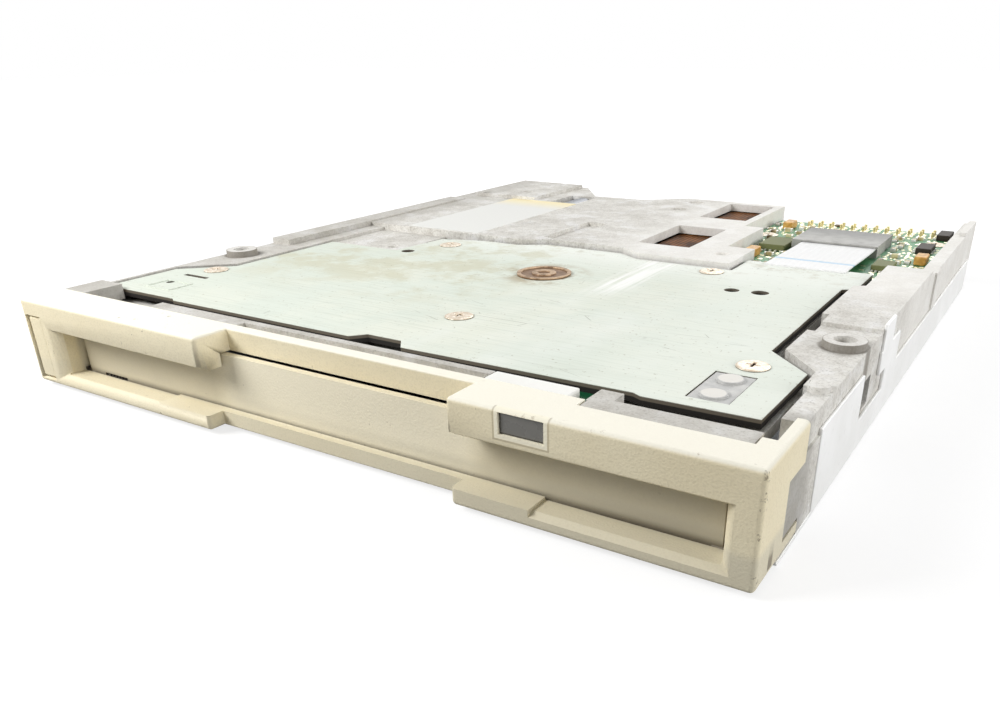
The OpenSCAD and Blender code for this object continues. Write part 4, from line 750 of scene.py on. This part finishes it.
fired_part = part_block(0.12, 0.12)
solder_bead = part_block(0.28, 0.7)
bodies, caps, beads = [], [], []
part_count = 46
part_space = 0.2
part_half, body_half, cap_half = (0.8, 0.42), (0.5, 0.4), (0.15, 0.42)
cap_offset, cap_drop = 0.65, 0.04
while len(bodies) < part_count:
    x, y = random_place()
    turned = draw.random() < 0.5
    half_x, half_y = part_half if turned else part_half[::-1]
    tall = draw.uniform(0.35, 0.7)
    if not free(x, y, half_x + part_space, half_y + part_space):
        continue
    taken.append((x - half_x - part_space, x + half_x + part_space,
                  y - half_y - part_space, y + half_y + part_space))
    body_x, body_y = body_half if turned else body_half[::-1]
    bodies.append(board_block(fired_part, (x - body_x, x + body_x), (y - body_y, y + body_y), tall))
    cap_x, cap_y = cap_half if turned else cap_half[::-1]
    for end in (-cap_offset, cap_offset):
        end_x, end_y = (x + end, y) if turned else (x, y + end)
        caps.append(board_block(fired_part, (end_x - cap_x, end_x + cap_x), (end_y - cap_y, end_y + cap_y),
                                tall - cap_drop))
bead_count = 210
bead_space = 0.08
bead_rise = 0.12
while len(beads) < bead_count:
    x, y = random_place()
    half = draw.uniform(0.22, 0.42)
    if not free(x, y, half + bead_space, half + bead_space):
        continue
    taken.append((x - half, x + half, y - half, y + half))
    beads.append(board_block(solder_bead, (x - half, x + half), (y - half, y + half), bead_rise))
pin_solder, pin_rise = 0.7, 0.35
first_pin, pin_pitch = 22.8, 2
for column in range(12):
    for y in (110.4, 112.2):
        x = first_pin + pin_pitch * column
        beads.append(board_block(solder_bead, (x - pin_solder, x + pin_solder),
                                 (y - pin_solder, y + pin_solder), pin_rise))
gather("chip_parts", bodies, chip_part)
gather("chip_part_ends", caps, tinned_lead)
gather("solder_pads", beads, solder)

leads = []
lead_half = 0.16
lead_rise = 0.3
lead_long, lead_short = 0.6, 0.3
for left, right, near, far in ((45.6, 47.8, 109, 114), (44.4, 46.8, 96, 101)):
    for index in range(4):
        y = near + (far - near) * (index + 0.5) / 4
        for across in ((left - lead_long, left), (right, right + lead_short)):
            leads.append(board_block(fired_part, across, (y - lead_half, y + lead_half), lead_rise))
for left, right, near, far in ((20.7, 25.2, 87, 94), (40.8, 43.8, 80, 84.5)):
    for index in range(5):
        x = left + (right - left) * (index + 0.5) / 5
        for along in ((near - lead_long, near), (far, far + lead_long)):
            leads.append(board_block(fired_part, (x - lead_half, x + lead_half), along, lead_rise))
gather("chip_leads", leads, tinned_lead)
for model in (fired_part, solder_bead):
    bpy.data.objects.remove(model)

pale_gold, spot, surface = new_finish("pale_gold")
gilt = cloud(spot, 2600, 3)
link(blend(gilt, paint(196, 178, 120), paint(238, 226, 178)), surface, "Base Color")
link(0.22 + 0.2 * gilt, surface, "Roughness")
surface.inputs["Metallic"].default_value = 0.7
soften("header_pins_group", "header_pins", 0.0001, pale_gold)


# Flat cables
# A white ribbon cable runs from the plate to its socket; a brown film cable serves the heads
# and shows through the two windows of the rear deck. Both are thin strips held at their ends.
def flat_cable(name, node, route, thickness, material):
    low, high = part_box(node)
    near, far = route[0], route[1]
    tolerance = 0.00001
    bpy.ops.object.select_all(action="DESELECT")
    bpy.ops.mesh.primitive_plane_add(size=1, location=(
        (low[0] + high[0]) / 2, (near[0] + far[0]) / 2, near[1]))
    strip = bpy.context.object
    strip.name = name
    strip.scale = (high[0] - low[0], far[0] - near[0], 1)
    bpy.ops.object.transform_apply(location=True, rotation=True, scale=True)
    bpy.ops.object.mode_set(mode="EDIT")
    bpy.ops.mesh.select_all(action="DESELECT")
    bpy.ops.mesh.select_mode(type="EDGE")
    bpy.ops.object.mode_set(mode="OBJECT")
    for edge in strip.data.edges:
        edge.select = all(abs(strip.data.vertices[index].co.y - far[0]) < tolerance
                          for index in edge.vertices)
    bpy.ops.object.mode_set(mode="EDIT")
    for there in route[2:]:
        bpy.ops.mesh.extrude_region_move(TRANSFORM_OT_translate={
            "value": (0, there[0] - far[0], there[1] - far[1])})
        far = there
    bpy.ops.object.mode_set(mode="OBJECT")
    strip.data.materials.append(material)
    wall = strip.modifiers.new("wall", "SOLIDIFY")
    wall.thickness = thickness
    wall.offset = 0
    bpy.ops.object.modifier_apply(modifier="wall")
    bpy.ops.object.mode_set(mode="EDIT")
    bpy.ops.mesh.select_all(action="SELECT")
    bpy.ops.mesh.normals_make_consistent(inside=False)
    bpy.ops.object.mode_set(mode="OBJECT")
    bpy.ops.object.shade_smooth_by_angle(angle=math.radians(40))
    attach(strip, "drive")
    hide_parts(node)


def eased(start, end, steps):
    """Points of a soft S from one level to another."""
    points = []
    for index in range(steps + 1):
        share = index / steps
        ease = share * share * (3 - 2 * share)
        points.append((start[0] + (end[0] - start[0]) * share, start[1] + (end[1] - start[1]) * ease))
    return points


ribbon_white, spot, surface = new_finish("ribbon_white")
lines = spot.node("ShaderNodeTexWave", {
    "wave_type": "BANDS", "bands_direction": "X", "wave_profile": "SIN"}, {
    "Vector": spot, "Scale": 314, "Distortion": 0.0})
along = axes(spot)[1]
line_near, line_far = 0.0139, 0.0149
blue = step(along, line_near - blur, line_near + blur) * (1 - step(along, line_far - blur, line_far + blur))
tone = blend(0.3 * step(lines, 0.5, 0.9), paint(240, 240, 239), paint(226, 227, 228))
link(blend(0.8 * blue, tone, paint(150, 196, 226)), surface, "Base Color")
link(0.3 + 0.1 * lines, surface, "Roughness")
link(emboss(spot, lines, 0.00002), surface, "Normal")
cable_low, cable_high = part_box("motor_cable")
half = 0.0001
ribbon_start = (cable_low[1], cable_high[2] - half)
ribbon_end = (cable_high[1], cable_low[2] + half)
flat_start, flat_end = 0.002, 0.0058
ribbon_level = (ribbon_start[0] + flat_start, ribbon_start[1])
ribbon_bend = (ribbon_end[0] - flat_end, ribbon_end[1])
ribbon_route = [ribbon_start] + eased(ribbon_level, ribbon_bend, 8) + [ribbon_end]
flat_cable("ribbon_cable", "motor_cable", ribbon_route, 2 * half, ribbon_white)

brown_film, spot, surface = new_finish("brown_film")
tracks = spot.node("ShaderNodeTexWave", {"wave_type": "BANDS", "bands_direction": "X"}, {
    "Vector": spot, "Scale": 420, "Distortion": 0.4})
cloudy = cloud(spot, 300, 4)
tone = blend(step(tracks, 0.55, 0.8), paint(84, 50, 18), paint(140, 86, 36))
link(blend(0.8 * step(cloudy, 0.4, 0.65), tone, paint(36, 20, 8)), surface, "Base Color")
link(0.4 + 0.2 * cloudy, surface, "Roughness")
surface.inputs["Specular IOR Level"].default_value = 0.05
link(emboss(spot, tracks, 0.00003), surface, "Normal")
film_low, film_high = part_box("head_flex")
half = 0.000075
upper_run, lower_run = film_high[2] - half, film_low[2] + half
fold_r = (upper_run - lower_run) / 2
fold_y = film_high[1] - half - fold_r
fold = [(fold_y + fold_r * math.sin(angle), upper_run - fold_r + fold_r * math.cos(angle))
        for angle in [math.pi * index / 8 for index in range(9)]]
lower_length = 0.0098
film_route = [(film_low[1], upper_run)] + fold + [(fold_y - lower_length, lower_run)]
flat_cable("head_film", "head_flex", film_route, 2 * half, brown_film)

# Front bezel
# Bezel, flap and eject button are moulded in cream plastic with a fine pebbled skin that has
# yellowed a little and picked up small marks along its edges. A smoke grey lens and its white holder
# sit in the bezel's right half.
bezel_low, bezel_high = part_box("bezel")
flap_low, flap_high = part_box("flap")
bezel_end, bezel_top = bezel_high[0], bezel_high[2]
cream_plastic, spot, surface = new_finish("cream_plastic")
age = cloud(spot, 55, 4, 0.6)
pebble = cloud(spot, 4600, 1, 0.5)
mark = step(cloud(spot, 1300, 2, 0.5), 0.71, 0.77) * step(cloud(spot, 120, 2), 0.5, 0.62)
tone = blend(step(age, 0.3, 0.7), paint(240, 230, 200), paint(232, 220, 187))
tone = blend(0.22 * step(pebble, 0.48, 0.66), tone, paint(206, 195, 166))
side, along, height = axes(spot)
off_middle = absolute(side)
depth = along - bezel_face
# Painted shade on the flap and throat walls behind the lips, and painted light on the flap where the notch leaves
# it open.
recess_shade_and_light = step(depth, 0.0025, 0.0033) * (1 - step(height, 0.0088, 0.0096))
recess_shade_and_light = recess_shade_and_light * (1 - step(off_middle, 0.0478, 0.0484))
open_part = step(side, -0.0185, -0.0145) * (1 - step(side, 0.0190, 0.0225))
tone = blend(0.75 * recess_shade_and_light * (1 - open_part), tone, paint(196, 188, 166))
tone = blend(0.6 * recess_shade_and_light * open_part, tone, paint(246, 239, 217))
# Painted shade low on the bezel and flap, deeper towards the right.
lower_shade = 1 - step(height, 0.0034, 0.0046)
tone = blend((0.25 + 0.35 * step(side, -0.010, 0.030)) * lower_shade, tone, paint(202, 196, 176))
# Painted highlight along the bezel's top.
top_highlight = step(height, bezel_top - 0.0004, bezel_top - 0.00008)
tone = blend(0.85 * top_highlight, tone, paint(250, 247, 234))
lens_low, lens_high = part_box("indicator_lens")
lens_middle = [(lens_low[axis] + lens_high[axis]) / 2 for axis in range(3)]
lens_half = [(lens_high[axis] - lens_low[axis]) / 2 for axis in range(3)]
beside_lens = absolute(side - lens_middle[0]) - lens_half[0]
over_lens = absolute(height - lens_middle[2]) - lens_half[2]
off_lens = beside_lens.sum("MAXIMUM", beside_lens, over_lens)
on_face = 1 - step(depth, 0.0005, 0.0009)
tone = blend(0.8 * on_face * (1 - step(off_lens, 0.00036, 0.00042)), tone, paint(250, 244, 222))
rim_line = step(off_lens, 0.00036, 0.00044) * (1 - step(off_lens, 0.00054, 0.00064))
tone = blend(0.45 * on_face * rim_line, tone, paint(140, 122, 88))
chipped = step(cloud(spot, 1700, 3, 0.6), 0.58, 0.66)
end_edge = step(off_middle, bezel_end - 0.0006, bezel_end - 0.0001) * (1 - step(depth, 0.0005, 0.0013))
upper_edge = step(height, bezel_top - 0.00055, bezel_top - 0.00025) * (1 - step(depth, 0.0003, 0.0011))
upper_edge = upper_edge * step(side, 0.02, 0.034)
rub = step(cloud(spot, 420, 4, 0.65), 0.5, 0.64)
tone = blend(0.7 * end_edge * chipped, tone, paint(104, 90, 68))
tone = blend(0.55 * upper_edge * rub * chipped, tone, paint(132, 112, 82))
# Painted shade along the flap's foot, in the spring slot and in the gap at its left end.
flap_foot = step(along, flap_low[1] - 0.00015, flap_low[1] - 0.00002)
flap_foot = flap_foot * step(height, flap_low[2] - 0.00003, flap_low[2] + 0.00001)
spring_gap = step(side, -0.04075, -0.04065) * (1 - step(side, -0.03595, -0.03585))
spring_gap = spring_gap * (1 - step(height, 0.00228, 0.00240))
end_gap = (1 - step(side, -0.04400, -0.04360)) * (1 - step(height, 0.00240, 0.00262))
gap_shade = spring_gap.sum("MAXIMUM", spring_gap, end_gap)
foot_shade = 0.55 * (1 - step(height, 0.00205, 0.00300))
foot_shade = foot_shade + 0.25 * step(side, 0.02, 0.04) * (1 - step(height, 0.0026, 0.0042))
flap_front = flap_foot * (1 - step(along, flap_high[1] - 0.0002, flap_high[1] + 0.0001))
tone = blend(flap_front * foot_shade, tone, paint(84, 72, 52))
tone = blend(0.9 * flap_foot * gap_shade, tone, paint(52, 42, 32))
link(blend(0.6 * mark, tone, paint(120, 104, 78)), surface, "Base Color")
link(0.5 + 0.2 * pebble, surface, "Roughness")
link(emboss(spot, pebble, 0.00005, 0.8), surface, "Normal")
front_bezel = soften("bezel", "front_bezel", 0.00012, cream_plastic, least=0.0015)
skin = 0.00001
front = bezel_low[1] + skin
behind = bezel_high[1] + 0.001
low_side, high_side = bezel_low[2] + skin, bezel_high[2] - skin
notch_left, notch_right = -0.0157 - skin, 0.0199 + skin
upper_depth, lower_depth = 0.0047, 0.0022
upper_notch = bezel_low[1] + upper_depth + skin
lower_notch = bezel_low[1] + lower_depth + skin
upper_lip_foot, lower_lip_top = 0.005, 0.0035
outer_round = 0.0005
notch_round = 0.0003
overlap = 0.002


def rounded_block(low, high, radius):
    bpy.ops.object.select_all(action="DESELECT")
    middle = [(low[axis] + high[axis]) / 2 for axis in range(3)]
    bpy.ops.mesh.primitive_cube_add(size=1, location=middle)
    block = bpy.context.object
    block.scale = [high[axis] - low[axis] for axis in range(3)]
    bpy.ops.object.transform_apply(location=True, rotation=True, scale=True)
    bpy.ops.object.mode_set(mode="EDIT")
    bpy.ops.mesh.select_all(action="DESELECT")
    bpy.ops.mesh.select_mode(type="EDGE")
    bpy.ops.object.mode_set(mode="OBJECT")
    for edge in block.data.edges:
        ends = [block.data.vertices[index].co for index in edge.vertices]
        edge.select = not all(abs(end.y - high[1]) < skin for end in ends)
    bpy.ops.object.mode_set(mode="EDIT")
    bpy.ops.mesh.bevel(offset=radius, segments=4)
    bpy.ops.object.mode_set(mode="OBJECT")
    return block


def combine(piece, other, operation):
    bpy.ops.object.select_all(action="DESELECT")
    piece.select_set(True)
    bpy.context.view_layer.objects.active = piece
    join = piece.modifiers.new("join", "BOOLEAN")
    join.operation = operation
    join.solver = "EXACT"
    join.object = other
    bpy.ops.object.modifier_apply(modifier="join")
    bpy.data.objects.remove(other)


outer = rounded_block((bezel_low[0] + skin, front, low_side), (notch_left, behind, high_side), outer_round)
for low, high, radius in (
        ((notch_right, front, low_side), (bezel_high[0] - skin, behind, high_side), outer_round),
        ((notch_left - overlap, upper_notch, upper_lip_foot),
         (notch_right + overlap, behind - skin, high_side), notch_round),
        ((notch_left - overlap, lower_notch, low_side),
         (notch_right + overlap, behind - 2 * skin, lower_lip_top), notch_round)):
    combine(outer, rounded_block(low, high, radius), "UNION")
combine(front_bezel, outer, "INTERSECT")
even_shading(front_bezel)
soften("flap", "door_flap", 0.0003, cream_plastic, body="flap", segments=3)
soften("eject_button", "button_cap", 0.00035, cream_plastic, body="slide", segments=3)

smoke_lens, spot, surface = new_finish("smoke_lens")
haze = cloud(spot, 500, 3)
side, height = axes(spot)[::2]
edge_start, edge_end = 0.00024, 0.00008
lens_ends = step(absolute(side - lens_middle[0]), lens_half[0] - edge_start, lens_half[0] - edge_end)
lens_sides = step(absolute(height - lens_middle[2]), lens_half[2] - edge_start, lens_half[2] - edge_end)
within = 1 - haze.sum("MAXIMUM", lens_ends, lens_sides)
tone = blend(haze, paint(92, 91, 87), paint(116, 114, 109))
link(blend(within, paint(54, 50, 44), tone), surface, "Base Color")
link(0.2 + 0.15 * haze, surface, "Roughness")
soften("indicator_lens", "lamp_lens", 0.0001, smoke_lens)
soften("lamp_holder", "lamp_block", 0.0002, white_moulding)

# Label
# A plain paper label stuck on the rear deck and left blank. Its end has yellowed where the glue
# came through.
label_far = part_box("blank_label")[1][1]
label_paper, spot, surface = new_finish("label_paper")
fibres = cloud(spot, 2400, 4)
along = axes(spot)[1]
tone = blend(fibres, paint(226, 226, 221), paint(234, 234, 230))
yellowed = step(along, label_far - 0.0095, label_far + 0.0005)
link(blend(yellowed, tone, paint(246, 232, 186)), surface, "Base Color")
link(0.5 + 0.2 * fibres, surface, "Roughness")
link(emboss(spot, fibres, 0.00001), surface, "Normal")
dress("blank_label", label_paper)
